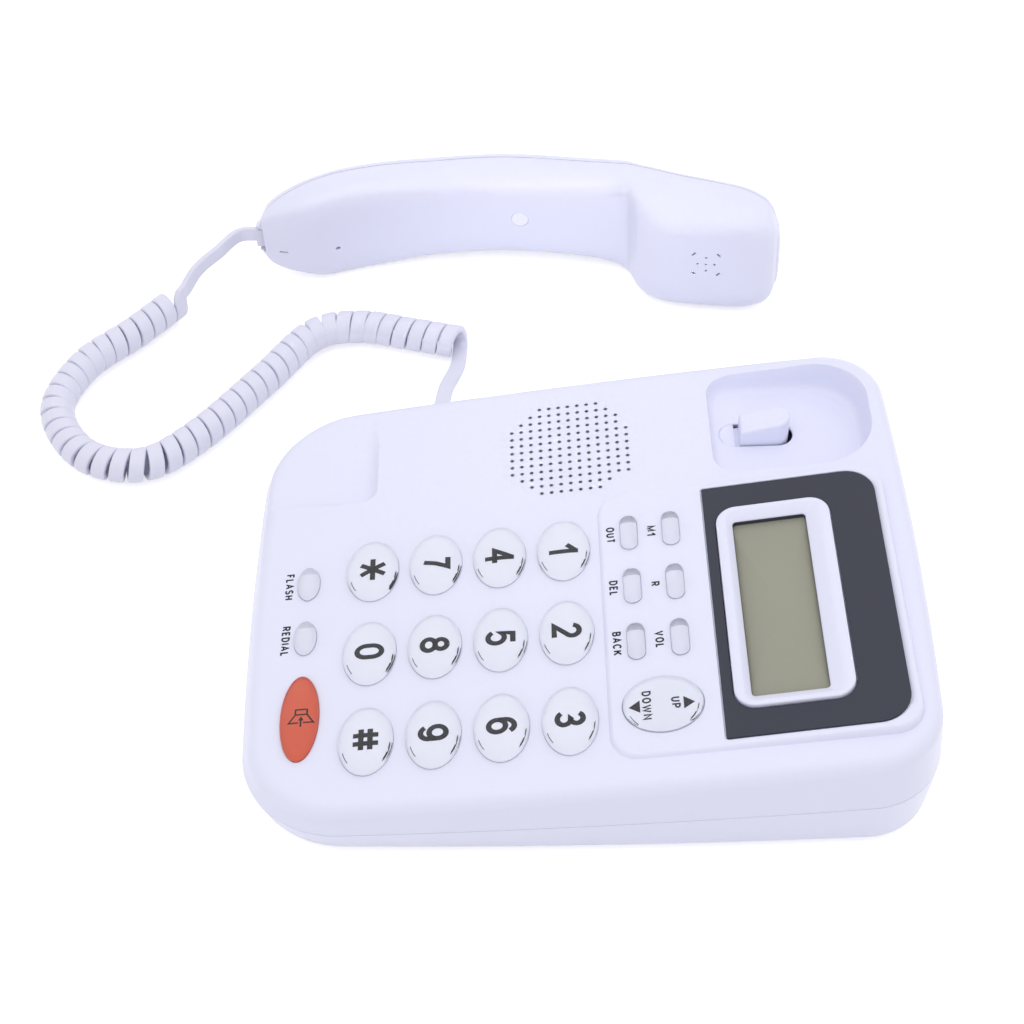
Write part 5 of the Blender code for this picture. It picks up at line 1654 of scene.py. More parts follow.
    def build_words(self, bench: Workbench) -> None:
        """Words printed on the shell in front of the small keys.

        Args:
            bench: makes and settles the pieces.
        """
        rows = (
            (("OUT", "DEL", "BACK"), PILL_COLUMNS, 10.3, PLATFORM_RISE),
            (("M1", "R", "VOL"), PILL_COLUMNS, 22.3, PLATFORM_RISE),
            (("FLASH", "REDIAL"), SMALL_PLACES.values(), -86.0, 0.0),
        )
        words = []
        for row, columns, y, lift in rows:
            for word, x in zip(row, columns):
                words.append(self.words.print(word, self.word_cap).moved(x, y, lift + self.print_gap))
        made = bench.mesh_object("panel_lettering", Surface.join(*words).on(PANEL), INK_AND_PAINTED_REFLECTION)
        bench.settle(made, "base")


@dataclass
class DisplayUnit:
    """Dark overlay, white window frame, grey display and a dark sheet of painted shade down the window's
    sides, in the display's tilted frame.
    """

    window_half: Pair = (31.6, 10.65)
    window_shift: Pair = (0.0, -1.2)
    window_corner: float = 1.2
    splay: float = 3.4
    pane_margin: float = 2.0
    # (grow, height) rings of the frame's outer wall, (share of the splay, height) rings of its inner sides,
    # and (grow, height) rings of the dark sheet of painted shade down the window's sides
    wall_rings: tuple[Pair, ...] = (
        *((2.0, -7.2), (2.0, -6.0), (0.0, -6.0), (0.0, 0.6)),
        *((-0.05, 0.85), (-0.18, 1.05), (-0.4, 1.16)),
    )
    side_rings: tuple[Pair, ...] = (
        *((1.0, 1.2), (0.9, 1.15), (0.75, 0.92), (0.4, 0.1)),
        *((0.1, -0.6), (0.02, -0.8), (0.0, -1.0), (0.0, -7.2)),
    )
    painted_shade_rings: tuple[Pair, ...] = (
        *((-0.01, -1.07), (-0.07, -1.11), (-0.07, -2.48), (-0.01, -2.48)),
        (-0.01, -1.07),
    )

    def build(self, bench: Workbench) -> None:
        """All its pieces.

        Args:
            bench: makes and settles the pieces.
        """
        self.build_overlay(bench)
        self.build_frame(bench)
        self.build_glass(bench)

    @staticmethod
    def outline(half: Pair, corners: Pair, grow: float) -> Array:
        """A rounded rectangle about the origin with the same number of points for every piece."""
        return rounded(half, *corners, grow, 16, (8, 8, 8, 8))

    def frame_ring(self, grow: float) -> Array:
        """Outline of the frame, swollen by grow."""
        return self.outline(FRAME_HALF, (FRAME_CORNER, FRAME_CORNER), grow) + np.array(FRAME_MIDDLE)

    def window_ring(self, grow: float, corner: float, share: float) -> Array:
        """Outline of the window, swollen by grow and moved by a share of its shift."""
        place = np.array(FRAME_MIDDLE) + np.array(self.window_shift) * share
        return self.outline(self.window_half, (corner, corner), grow) + place

    @staticmethod
    def sheet(bench: Workbench, name: str, rings: list[Array], finish: Finish) -> bpy.types.Object:
        """A piece whose rings run all round its section, the last on the first.

        Args:
            bench: makes and settles the pieces.
            name: name of the piece.
            rings: the rings in the display's frame.
            finish: its finish.

        Returns:
            The piece.
        """
        made = bench.mesh_object(name, Surface.grid(rings).on(DISPLAY), finish)
        bench.soften(made, MERGE)
        return made

    def build_overlay(self, bench: Workbench) -> None:
        """A thin sheet: rings from its outer edge over the top to the frame's opening and back below.

        Args:
            bench: makes and settles the pieces.
        """
        low, high, bevel = -0.35, 0.25, 0.1
        middle = np.array(OVERLAY_MIDDLE)
        edge = self.outline(OVERLAY_HALF, OVERLAY_CORNERS, 0.0) + middle
        drawn_in = self.outline(OVERLAY_HALF, OVERLAY_CORNERS, -bevel) + middle
        upper, opening = self.frame_ring(0.4), self.frame_ring(0.3)
        levels = ((edge, low), (edge, high - bevel), (drawn_in, high), (upper, high))
        levels += ((opening, high - bevel), (opening, low), (edge, low))
        rings = [at_height(ring, z) for ring, z in levels]
        made = self.sheet(bench, "display_overlay_sheet", rings, DARK)
        bench.settle(made, "base", "dark_overlay", ("display_overlay",))

    def build_frame(self, bench: Workbench) -> None:
        """The frame: up its outer wall, over a rounded rim and down the splayed sides to the window.

        Args:
            bench: makes and settles the pieces.
        """
        rings = [at_height(self.frame_ring(grow), z) for grow, z in self.wall_rings]
        for share, z in self.side_rings:
            more = share * self.splay
            corner = self.window_corner - more / 2
            rings.append(at_height(self.window_ring(more, corner, 1 - share), z))
        made = self.sheet(bench, "display_frame", [*rings, rings[0]], WHITE)
        bench.settle(made, "base", "white_housing", ("lcd_frame",))

    def build_glass(self, bench: Workbench) -> None:
        """The display: a flat pane with a soft edge, and a thin dark sheet down the window's sides to it,
        painted shade where those sides fall in shadow.

        Args:
            bench: makes and settles the pieces.
        """
        half = (self.window_half[0] + self.pane_margin, self.window_half[1] + self.pane_margin)
        place = np.array(FRAME_MIDDLE) + np.array(self.window_shift)
        pane = Surface.prism(rounded(half, 1.0, 1.0, 0.0, 6), -4.5, -2.5, 0.3).moved(*place)
        made = bench.mesh_object("display_pane", pane.on(DISPLAY), LCD)
        bench.settle(made, "base", "display_glass", ("lcd_glass",))
        # Painted shade: a dark sheet down the window's sides, where they fall in shadow.
        rings = [at_height(self.window_ring(grow, self.window_corner, 1.0), z) for grow, z in self.painted_shade_rings]
        bench.settle(self.sheet(bench, "display_painted_shade", rings, DARK), "base")


@dataclass
class HookLever:
    """Lever under the ear cradle with its wedge tab through the slot."""

    floor: float = 5.2
    front: float = 19.6
    rear: float = 39.3
    pad_length: float = 4.6
    half_width: float = 4.3
    low_rise: float = 5.0
    high_rise: float = 8.6
    hub_radius: float = 3.2
    arm_half: Triple = (3.0, 16.0, 1.6)
    arm_middle: float = 18.5
    arm_corner: float = 0.4
    edge: float = 0.3
    pad_low: float = -2.2
    pad_gap: float = 1.2
    pad_edge: float = 0.5
    wedge_low: float = -2.0
    wedge_edge: float = 0.9
    wedge_corner: float = 0.5
    wedge_gap: float = 0.02

    def build(self, bench: Workbench) -> None:
        """Hub, arm, round pad and wedge as one piece on the hook's body.

        Args:
            bench: makes and settles the pieces.
        """
        across, along, thick = self.arm_half
        circle = ellipse((self.hub_radius, self.hub_radius), 0.0, 40)
        hub = Surface.prism(circle, -across, across, self.edge).turned(TO_SIDE)
        strip = rounded((across, along), self.arm_corner, self.arm_corner, 0.0, 4)
        arm = Surface.prism(strip, -thick, thick, self.edge).moved(0.0, self.arm_middle)
        middle = (self.front + self.rear) / 2
        half = (self.half_width, (self.rear - self.front) / 2)
        pad = Surface.prism(stadium(half), self.pad_low, self.floor - self.pad_gap, self.pad_edge)
        lever = Surface.join(hub, arm, pad.moved(0.0, middle), self.wedge())
        made = bench.mesh_object("hook_lever_tab", lever.moved(*HOOK_PIN), WHITE)
        bench.settle(made, "hook", "white_housing", ("hook_lever",))

    def wedge(self) -> Surface:
        """Wedge with a round rear end: an outline raised to a slanted top with a rounded edge.

        Returns:
            The closed wedge.
        """
        start = self.front + self.pad_length
        length = self.rear - start
        half = (self.half_width - self.wedge_gap, length / 2)
        edge, most = self.wedge_edge, self.wedge_corner - 0.01
        rings = [at_height(self.wedge_outline(half, 0.0), self.wedge_low)]
        for angle in np.linspace(0.0, QUARTER, 6):
            inset = edge * (1 - math.cos(angle))
            drawn = self.wedge_outline(half, min(inset, most))
            drawn = drawn * (1 - max(inset - most, 0.0) / np.array(half))
            share = (drawn[:, 1] + half[1]) / length
            top = self.floor + self.low_rise + (self.high_rise - self.low_rise) * share
            rings.append(at_height(drawn, top - edge + edge * math.sin(angle)))
        return Surface.loft(rings).moved(0.0, start + half[1])

    def wedge_outline(self, half: Pair, inset: float) -> Array:
        """Outline of the wedge, almost a half circle at its rear, drawn in by inset."""
        almost = 0.97
        return rounded(half, self.wedge_corner, almost * self.half_width, -inset, 14, (2, 10, 12, 10))


@dataclass
class Handset:
    """Handset lying on its side: two shells, sound holes and a screw cap.

    Stations run along its length from -1 at the cord to 1 at the ear.
    """

    length: float = 179.6
    place: Pair = (-165.0, -15.5)
    yaw: float = -4.3
    tilt: float = 0.85
    roundness: float = 4.5
    back_shell: float = 5.9
    wall: float = 2.0
    end_bulge: float = 1.3
    ear: Pair = (65.8, 3.0)
    screw: Pair = (1.0, 1.4)
    screw_radius: float = 3.0
    screw_gap: float = 0.06
    pocket_half: Triple = (3.8, 11.0, 5.0)
    pocket_place: Pair = (4.0, 2.0)
    pocket_corner: float = 0.5
    # half sizes and place
    mouth_hole: tuple[Pair, Pair] = ((0.8, 0.55), (-62.7, -3.9))
    chin_slit: tuple[Pair, Pair] = ((1.6, 0.35), (-81.5, -3.6))
    ear_hole: Pair = (0.42, 0.42)
    # quarter turns at which they start, distance from the ear's middle, and half sizes
    ear_rings: tuple[tuple[float, float, Pair], ...] = ((0.0, 2.85, (0.42, 0.42)), (0.5, 5.9, (0.36, 0.9)))
    # station, back, inner face, half width
    profile: tuple[Quad, ...] = (
        (-1.00, 2.5, 7.0, 6.0),
        (-0.965, -1.8, 8.5, 11.0),
        (-0.88, -6.9, 9.8, 14.8),
        (-0.78, -11.0, 9.6, 17.2),
        (-0.68, -14.0, 6.2, 18.2),
        (-0.58, -16.6, 3.2, 18.2),
        (-0.34, -21.8, -1.2, 16.8),
        (-0.06, -25.0, -3.0, 16.2),
        (0.28, -21.4, -0.9, 17.1),
        (0.39, -18.8, 0.9, 18.5),
        (0.43, -17.6, 3.6, 19.1),
        (0.475, -16.1, 12.8, 19.6),
        (0.53, -14.4, 18.2, 20.0),
        (0.62, -11.4, 21.0, 20.0),
        (0.86, -4.2, 22.6, 19.9),
        (0.95, 0.4, 21.2, 18.4),
        (0.985, 3.6, 19.2, 15.6),
        (1.00, 6.4, 16.4, 12.0),
    )

    def value(self, column: int, station: Array) -> Array:
        """Back (1), inner face (2) or half width (3): a cubic through the rows that never overshoots them.

        Args:
            column: which of the three.
            station: places along the handset.

        Returns:
            The value at each station.
        """
        rows = np.array(self.profile)
        x, y = rows[:, 0], rows[:, column]
        slope = np.diff(y) / np.diff(x)
        product = slope[:-1] * slope[1:]
        total = np.where(product > 0, slope[:-1] + slope[1:], 1.0)
        tangent = np.concatenate((slope[:1], np.where(product > 0, 2 * product / total, 0.0), slope[-1:]))
        index = np.clip(np.searchsorted(x, station, side="right") - 1, 0, len(x) - 2)
        span = x[index + 1] - x[index]
        t = (station - x[index]) / span
        return (
            (2 * t**3 - 3 * t**2 + 1) * y[index]
            + (t**3 - 2 * t**2 + t) * tangent[index] * span
            + (3 * t**2 - 2 * t**3) * y[index + 1]
            + (t**3 - t**2) * tangent[index + 1] * span
        )

    def carrier(self) -> Carrier:
        """Where it lies: at the height at which its tilted side just touches the table.

        Returns:
            The carrier of its pieces.
        """
        station = np.linspace(-1.0, 1.0, 400)
        tilt = math.radians(self.tilt)
        reach = self.value(3, station) * math.cos(tilt) - station * self.length / 2 * math.sin(tilt)
        turn = turn_about_z(self.yaw) @ turn_about_x(self.tilt)
        return Carrier((*self.place, float(reach.max())), turn)

    def arcs(self, front: bool, wall: float, gap: float = 0.2) -> Array:
        """One face of a shell: superelliptic sections from joint to joint, drawn to a point at both ends.

        Args:
            front: the deep shell with the inner face, or the thin back.
            wall: how far the face lies inside the outline.
            gap: half the joint between the shells.

        Returns:
            Array of (stations, columns, 3) points in the handset's frame.
        """
        least, most, ease = 0.2, 0.98, 0.35
        bulge = np.linspace(QUARTER, 0.0, 12)[:-1]
        ends = np.linspace(0.93, 1.0, 28)
        middle = (np.linspace(-0.93, 0.93, 140), np.linspace(0.38, 0.64, 50))
        body = np.unique(np.concatenate((-ends, *middle, ends)))
        station = np.concatenate((-np.ones(len(bulge)), body, np.ones(len(bulge))))
        share = np.concatenate((np.cos(bulge), np.ones(len(body)), np.cos(bulge[::-1])))
        past = np.concatenate((-np.sin(bulge), np.zeros(len(body)), np.sin(bulge[::-1]))) * self.end_bulge
        back, inner, half = (self.value(column, station) for column in (1, 2, 3))
        centre, depth = (back + inner) / 2, np.maximum((inner - back) / 2 - wall, least)
        joint = back + self.back_shell + (gap if front else -gap)
        level = np.clip((joint - centre) / depth, -most, most)
        limit = np.arccos(np.sign(level) * np.abs(level) ** (self.roundness / 2))
        even = np.linspace(-1.0, 1.0, 72 if front else 40)
        spread = np.sin(even * QUARTER) * ease + even * (1 - ease)
        angle = limit[:, None] * spread if front else math.pi + (math.pi - limit[:, None]) * spread
        power = 2 / self.roundness
        across = np.sign(np.cos(angle)) * np.abs(np.cos(angle)) ** power
        up = np.sign(np.sin(angle)) * np.abs(np.sin(angle)) ** power
        x = centre[:, None] + (depth * share)[:, None] * across
        y = np.repeat((station * (self.length / 2 - wall) + past)[:, None], angle.shape[1], axis=1)
        z = (np.maximum(half - wall, least) * share)[:, None] * up
        return np.stack((x, y, z), axis=-1)

    def shell(self, front: bool) -> Surface:
        """A shell with its wall: rings that run over the outer face and back over the inner one."""
        rings = np.concatenate((self.arcs(front, 0.0), self.arcs(front, self.wall)[:, ::-1]), axis=1)
        return Surface.grid(rings[::-1])

    def sound_holes(self) -> Surface:
        """Cutters for the ear's holes and slots, the mouth's hole and the slit in the chin.

        Returns:
            All cutters as one surface.
        """
        bars = [self.bar(stadium(half), place) for half, place in (self.mouth_hole, self.chin_slit)]
        bars.append(self.bar(ellipse(self.ear_hole, 0.0, 14), self.ear))
        for step in range(4):
            for turn, radius, half in self.ear_rings:
                angle = QUARTER * (step + turn)
                place = (self.ear[0] + radius * math.cos(angle), self.ear[1] + radius * math.sin(angle))
                outline = stadium(half) @ turn_about_z(math.degrees(angle))[:2, :2].T
                bars.append(self.bar(outline, place))
        return Surface.join(*bars)

    def face_at(self, y: float) -> float:
        """Height of the inner face at a place along the length."""
        return float(self.value(2, np.array([y / self.length * 2]))[0])

    def bar(self, outline: Array, place: Pair) -> Surface:
        """A cutter through the inner face: an outline in YZ raised along X past the face."""
        face = self.face_at(place[0])
        return Surface.prism(outline, face - 4.0, face + 6.0).turned(TO_SIDE).moved(0.0, *place)

    def build(self, bench: Workbench) -> None:
        """Both shells, cut and settled on the handset's body, and the screw's cap.

        Args:
            bench: makes and settles the pieces.
        """
        carrier = self.carrier()
        across, along, deep = self.pocket_half
        x, past_end = self.pocket_place
        corner = self.pocket_corner
        pocket = Surface.prism(rounded((across, along), corner, corner, 0.0, 3), -deep, deep)
        pocket = pocket.moved(x, past_end - self.length / 2)
        circle = ellipse((self.screw_radius, self.screw_radius), 0.0, 48)
        bore = self.bar(ellipse((self.screw_radius, self.screw_radius), self.screw_gap, 48), self.screw)
        for front, name in ((True, "front"), (False, "back")):
            shell = bench.mesh_object(f"handset_{name}_skin", self.shell(front).on(carrier), WHITE)
            bench.soften(shell, MERGE)
            cutters = Surface.join(pocket, bore, self.sound_holes()) if front else pocket
            bench.cut(shell, cutters.on(carrier))
            bench.settle(shell, "handset", "white_housing", (f"handset_{name}_shell",))
        face = self.face_at(self.screw[0])
        cap = Surface.prism(circle, face - 1.5, face + 0.1, 0.3).turned(TO_SIDE)
        # The screw cover takes the function key plates' finish, with its small painted glow.
        made = bench.mesh_object("handset_screw_cover", cap.moved(0.0, *self.screw).on(carrier), PILL_PLATE)
        bench.settle(made, "handset", "white_housing", ("handset_screw_cap",))


@dataclass
class CurlyCord:
    """Flat cord wound flat side out, with a straight lead at each end.

    Args:
        handset: where its far end goes.
    """

    handset: Handset
    width: float = 4.85
    thick: float = 2.3
    coil_radius: float = 4.5
    coil_height: float = 6.5
    turns: float = 44.2975
    start_turn: float = 0.75
    points_per_turn: int = 22
    lead_step: float = 1.3
    run: float = 3.4
    corner_power: float = 0.36
    plug_face: Triple = (-80.5, CORD_JACK_Y, 8.2)
    far_plug: Triple = (4.0, -91.6, 0.0)
    route: tuple[Pair, ...] = (
        (-121.4, -36.0),
        (-126.0, -52.0),
        (-130.6, -70.0),
        (-127.0, -86.0),
        (-106.0, -101.5),
        (-81.0, -121.0),
        (-68.5, -138.0),
        (-73.6, -157.6),
        (-94.0, -169.4),
        (-115.5, -163.0),
        (-131.0, -148.0),
        (-145.0, -136.0),
    )
    base_route: tuple[Triple, ...] = ((-92.0, -42.0, 4.8), (-104.0, -40.4, 2.4))
    handset_route: tuple[Triple, ...] = (
        (-147.5, -131.0, 11.6),
        (-152.5, -127.0, 15.2),
        (-157.5, -120.0, 18.5),
    )

    def coil(self) -> tuple[Array, Array]:
        """The helix round its route, and the way of its axis at each point.

        Returns:
            The points, and a unit vector at each.
        """
        route = np.array([(x, y, self.coil_height) for x, y in self.route])
        axis = smooth_curve(route, 2 * route[0] - route[1], 2 * route[-1] - route[-2], 0.5)
        steps = round(self.turns * self.points_per_turn)
        place = np.linspace(0.0, len(axis) - 1.0, steps + 1)
        way = unit(np.gradient(axis, axis=0))
        index = np.arange(len(axis))
        middle = np.stack([np.interp(place, index, axis[:, i]) for i in range(3)], axis=1)
        along = unit(np.stack([np.interp(place, index, way[:, i]) for i in range(3)], axis=1))
        across = np.stack((along[:, 1], -along[:, 0], np.zeros(len(along))), axis=1)
        angle = 2 * math.pi * (self.start_turn + self.turns * np.linspace(0.0, 1.0, steps + 1))
        offset = across * np.cos(angle)[:, None] + UP * np.sin(angle)[:, None]
        return middle + self.coil_radius * offset, along

    def lead(
        self, start: Array, leave: Array, middle: Array, end: Array, arrive: Array
    ) -> Array:
        """A lead from start to end, straight for a short run at both.

        Args:
            start: its first point.
            leave: the way in which it leaves that.
            middle: points on its route.
            end: its last point.
            arrive: the way in which it comes to that.

        Returns:
            Its points, with both ends.
        """
        points = np.concatenate(((start + self.run * leave)[None], middle, (end - self.run * arrive)[None]))
        before = points[1] - 2 * np.linalg.norm(points[1] - points[0]) * leave
        after = points[-2] + 2 * np.linalg.norm(points[-1] - points[-2]) * arrive
        return np.concatenate((start[None], smooth_curve(points, before, after, self.lead_step), end[None]))

    def path(self) -> tuple[Array, Array]:
        """The centreline from plug to plug, and the way of the flat cord's width at each point.

        Returns:
            The points, and a vector along the width at each.
        """
        coil, axis = self.coil()
        out = np.array((-1.0, 0.0, 0.0))
        enter = unit(coil[1] - coil[0])
        first = self.lead(np.array(self.plug_face), out, np.array(self.base_route), coil[0], enter)[:-1]
        carrier = self.handset.carrier()
        plug = carrier.place(np.array(self.far_plug))
        leave = unit(coil[-1] - coil[-2])
        last = self.lead(coil[-1], leave, np.array(self.handset_route), plug, carrier.turn[:, 1])[1:]
        way = np.gradient(np.concatenate((first, coil, last)), axis=0)
        width_in = np.cross(np.cross(enter, axis[0]), way[: len(first)])
        width_out = np.cross(np.cross(leave, axis[-1]), way[-len(last) :])
        return np.concatenate((first, coil, last)), np.concatenate((width_in, axis, width_out))

    def build(self, bench: Workbench) -> None:
        """Args:
            bench: makes and settles the pieces.
        """
        path, width = self.path()
        way = unit(np.gradient(path, axis=0))
        width = unit(width - (width * way).sum(axis=1, keepdims=True) * way)
        thick = np.cross(way, width)
        across, up = np.cos(even_angles(20)), np.sin(even_angles(20))
        flat = np.sign(across) * np.abs(across) ** self.corner_power * self.width / 2
        deep = np.sign(up) * np.abs(up) ** self.corner_power * self.thick / 2
        rings = path[:, None] + width[:, None] * flat[None, :, None] + thick[:, None] * deep[None, :, None]
        cord = bench.mesh_object("curly_cord", Surface.loft(rings), CORD_WHITE)
        line = bench.world(path)
        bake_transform(cord)
        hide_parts("cord_base_lead", "cord_curls", "cord_handset_lead")


class Hardware:
    """Screws, feet, jack contacts and the solids of the frame that stay on show."""

    # (radius, height) profiles, and the drop of a screw's head at each of its radii
    shank = np.array(((1.45, 3.9), (1.45, 13.8), (0.3, 14.8)))
    foot = np.column_stack(
        (
            (0.2, 2.5, 3.8, 4.4, 5.2, 5.6, 5.9, 6.0, 6.0),
            (0.35, 0.32, 0.15, 0.0, 0.0, 0.08, 0.3, 0.6, 1.2),
        )
    )
    head_radius = np.array((0.05, 0.3, 0.55, 0.8, 1.05, 1.3, 1.5, 1.8, 2.2, 2.6, 2.85, 3.0, 3.0))
    head_drop = np.array((0.0, 0.0, 0.0, 0.0, 0.01, 0.02, 0.03, 0.05, 0.1, 0.2, 0.35, 0.6, 2.0))
    head_level = 1.8
    shown = {
        "line_jack": BLACK,
        "handset_jack": BLACK,
        "handset_end_jack": BLACK,
        "loudspeaker": BLACK,
        "hook_switch": BLACK,
        "receiver_capsule": BLACK,
        "hook_pin": STEEL,
        "handset_screw": STEEL,
        "microphone": STEEL,
        "handset_weight": STEEL,
        "keypad_mat": RUBBER,
        "main_board": BOARD,
        "base_plug": PLUG,
        "handset_plug": CORD_WHITE,
    }

    @staticmethod
    def turned(profile: Array, count: int) -> Surface:
        """A profile of (radius, height) points spun about Z, its ends fanned shut.

        Args:
            profile: the points.
            count: steps in a turn.

        Returns:
            The closed body.
        """
        angle = even_angles(count)
        x = profile[:, :1] * np.cos(angle)
        y = profile[:, :1] * np.sin(angle)
        z = np.repeat(profile[:, 1:], count, axis=1)
        return Surface.loft(np.stack((x, y, z), axis=-1))

    def screw(self) -> Surface:
        """Pan head downwards with a cross recess, and a plain shank up.

        Returns:
            The head and the shank as one surface.
        """
        angle = even_angles(96)
        radius = self.head_radius[:, None]
        x, y = radius * np.cos(angle), radius * np.sin(angle)
        arm = np.minimum(np.abs(x), np.abs(y))
        wide, side, long, end = 0.42, 0.12, 1.75, 0.4
        deep = np.clip((wide - arm) / side, 0.0, 1.0) * np.clip((long - radius) / end, 0.0, 1.0)
        z = self.head_level + self.head_drop[:, None] + deep
        return Surface.join(Surface.loft(np.stack((x, y, z), axis=-1)), self.turned(self.shank, 20))

    def build(self, bench: Workbench) -> None:
        """Fasteners, feet, contacts and finishes.

        Args:
            bench: makes and settles the pieces.
        """
        for number, (x, y) in enumerate(SCREW_PLACES, 1):
            made = bench.mesh_object(f"base_screw_{number}_cross", self.screw().moved(x, y), STEEL)
            bench.soften(made, FINE_MERGE)
            bench.settle(made, "base", "steel", (f"base_screw_{number}",))
        for number, (x, y) in enumerate(FOOT_PLACES, 1):
            pad = self.turned(self.foot, 48).moved(x, y)
            made = bench.mesh_object(f"rubber_foot_{number}_pad", pad, RUBBER)
            bench.settle(made, "base", "grey_rubber", (f"rubber_foot_{number}",))
        self.build_contacts(bench)
        for name, finish in self.shown.items():
            bench.dress(name, finish)

    @staticmethod
    def build_contacts(bench: Workbench) -> None:
        """Four sprung wires in the line jack, slanting down from its rear.

        Args:
            bench: makes and settles the pieces.
        """
        count, pitch, radius = 4, 1.1, 0.25
        angle = even_angles(10)
        ring = np.stack((np.cos(angle), np.zeros(len(angle)), np.sin(angle)), axis=1) * radius
        path = np.array(((0.0, 97.0, 11.8), (0.0, 95.0, 11.6), (0.0, 88.6, 7.4)))
        wire = Surface.loft(path[:, None] + ring[None])
        places = LINE_JACK_X + (np.arange(count) - (count - 1) / 2) * pitch
        made = bench.mesh_object("line_jack_wires", Surface.join(*(wire.moved(x) for x in places)), GOLD)
        bench.soften(made, FINE_MERGE)
        bench.settle(made, "base")


@dataclass(frozen=True)
class Lamp:
    """A square soft lamp that isn't mirrored in the caps.

    Args:
        name: its name.
        place: its middle, in metres.
        size: its side.
        power: its strength in watts.
        aim: the place that it faces.
        spread: full angle of its light in degrees.
    """

    name: str
    place: Triple
    size: float
    power: float
    aim: Triple = (0.0, 0.0, 0.0)
    spread: float = 180.0

    def build(self) -> None:
        """Hangs it in the scene."""
        data = bpy.data.lights.new(self.name, "AREA")
        data.size = self.size
        data.energy = self.power
        data.spread = math.radians(self.spread)
        lamp = bpy.data.objects.new(self.name, data)
        lamp.location = self.place
        lamp.visible_glossy = False
        lamp.rotation_euler = (Vector(self.aim) - Vector(self.place)).to_track_quat("-Z", "Y").to_euler()
        bpy.context.scene.collection.objects.link(lamp)


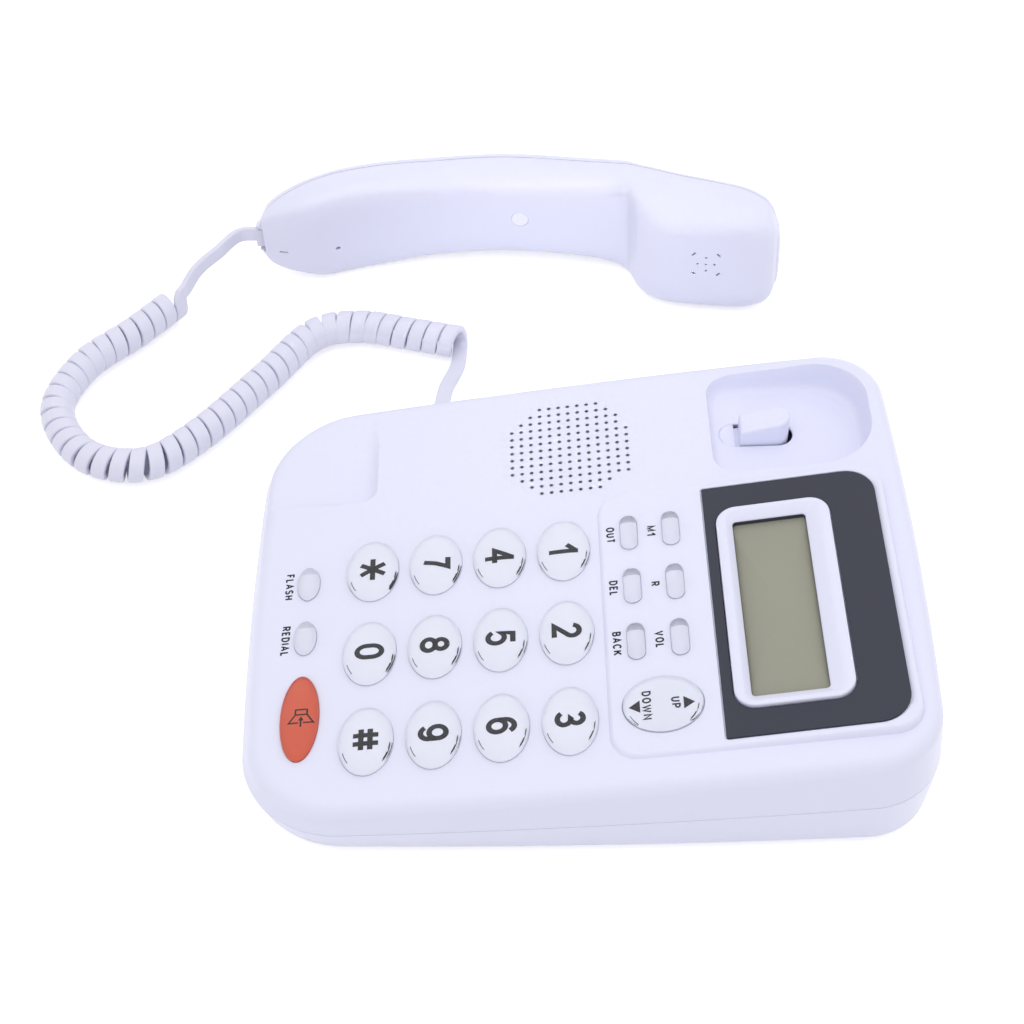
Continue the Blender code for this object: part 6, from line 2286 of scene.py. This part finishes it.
@dataclass
class Studio:
    """Camera at the photograph's angle, soft light and a white floor."""

    camera_place: Triple = (378.006, -10.754, 474.649)
    right: Triple = (0.0131, 0.9995, -0.0297)
    down: Triple = (0.7435, -0.0296, -0.6680)
    forward: Triple = (-0.6686, -0.0133, -0.7435)
    lens: float = 70.52
    sensor: float = 36.0
    world_light: float = 0.74
    world_colour: Quad = (0.985, 0.985, 1.0, 1.0)
    white: Quad = (1.0, 1.0, 1.0, 1.0)
    floor_colour: Quad = (0.86, 0.86, 0.88, 1.0)
    floor_glow: float = 0.5
    floor_reach: float = 3000.0
    floor_level: float = -0.05
    lamps: tuple[Lamp, ...] = (
        Lamp("key_light", (0.25, -0.15, 1.2), 1.1, 4.0),
        Lamp("fill_light", (-0.5, 0.6, 0.9), 0.9, 1.5),
        Lamp("handset_light", (0.85, 0.0, 0.45), 0.1, 0.009, (-0.15, 0.0, 0.02), 10.0),
    )

    def build(self, bench: Workbench) -> None:
        """Camera, lamps, world and floor.

        Args:
            bench: makes and settles the pieces.
        """
        self.build_camera(bench)
        self.build_world()
        for lamp in self.lamps:
            lamp.build()
        self.build_floor(bench)
        bpy.context.scene.view_settings.view_transform = "Standard"

    def build_camera(self, bench: Workbench) -> None:
        """A camera whose axes are the photograph's right, up and back.

        Args:
            bench: makes and settles the pieces.
        """
        data = bpy.data.cameras.new("camera")
        data.lens = self.lens
        data.sensor_width = self.sensor
        data.clip_start = 0.01
        camera = bpy.data.objects.new("camera", data)
        bpy.context.scene.collection.objects.link(camera)
        back = unit(-np.array(self.forward))
        right = unit(np.array(self.right) - back * (np.array(self.right) @ back))
        up = np.cross(back, right)
        place = bench.world(np.array(self.camera_place))
        rows = np.column_stack((right, up, back, place))
        camera.matrix_world = Matrix((*rows.tolist(), (0.0, 0.0, 0.0, 1.0)))
        bpy.context.scene.camera = camera

    @staticmethod
    def seen_directly(tree: bpy.types.NodeTree) -> bpy.types.NodeSocket:
        """A value of one for camera, mirror and glass rays.

        Args:
            tree: the node tree that holds it.

        Returns:
            The socket of the value.
        """
        path = tree.nodes.new("ShaderNodeLightPath")
        value = path.outputs["Is Camera Ray"]
        for name in ("Is Glossy Ray", "Is Transmission Ray"):
            value = math_node(tree, "MAXIMUM", value, path.outputs[name])
        return value

    def build_world(self) -> None:
        """Even light from all round, and white where it is seen."""
        world = bpy.data.worlds.new("studio")
        world.use_nodes = True
        bpy.context.scene.world = world
        tree = world.node_tree
        light = tree.nodes["Background"]
        set_inputs(light, Color=self.world_colour, Strength=self.world_light)
        white = tree.nodes.new("ShaderNodeBackground")
        set_inputs(white, Color=self.white)
        mix = tree.nodes.new("ShaderNodeMixShader")
        tree.links.new(self.seen_directly(tree), mix.inputs["Fac"])
        tree.links.new(light.outputs["Background"], mix.inputs[1])
        tree.links.new(white.outputs["Background"], mix.inputs[2])
        tree.links.new(mix.outputs["Shader"], tree.nodes["World Output"].inputs["Surface"])

    def build_floor(self, bench: Workbench) -> None:
        """A white table, clear from below, that keeps the shadow; a glow brings its lit part up to white.

        Args:
            bench: makes and settles the pieces.
        """
        x, y = np.meshgrid(*(np.linspace(-self.floor_reach, self.floor_reach, 3),) * 2)
        rows = np.stack((x, y, np.full(x.shape, self.floor_level)), axis=-1)
        floor = bench.mesh_object("studio_floor", Surface.grid(rows, False))
        material = bpy.data.materials.new("studio floor")
        material.use_nodes = True
        tree = material.node_tree
        shader = tree.nodes["Principled BSDF"]
        set_inputs(shader, Base_Color=self.floor_colour, Roughness=0.9, Emission_Color=self.white)
        glow = math_node(tree, "MULTIPLY", self.seen_directly(tree), self.floor_glow)
        tree.links.new(glow, shader.inputs["Emission Strength"])
        side = tree.nodes.new("ShaderNodeNewGeometry")
        above = math_node(tree, "SUBTRACT", 1.0, side.outputs["Backfacing"])
        tree.links.new(above, shader.inputs["Alpha"])
        floor.data.materials.append(material)


def main() -> None:
    """Loads the frame and builds the telephone round it."""
    logging.basicConfig(level=logging.INFO, format="%(name)s: %(message)s")
    for obj in list(bpy.data.objects):
        bpy.data.objects.remove(obj, do_unlink=True)
    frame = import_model()
    bench = Workbench(frame)
    handset = Handset()
    keys = panel_keys()
    Studio().build(bench)
    CurlyCord(handset).build(bench)
    housing = Housing(keys)
    housing.build_top(bench)
    housing.build_bottom(bench)
    keypad = Keypad(keys)
    keypad.build(bench)
    keypad.build_words(bench)
    DisplayUnit().build(bench)
    HookLever().build(bench)
    handset.build(bench)
    Hardware().build(bench)


if __name__ == "__main__":
    main()
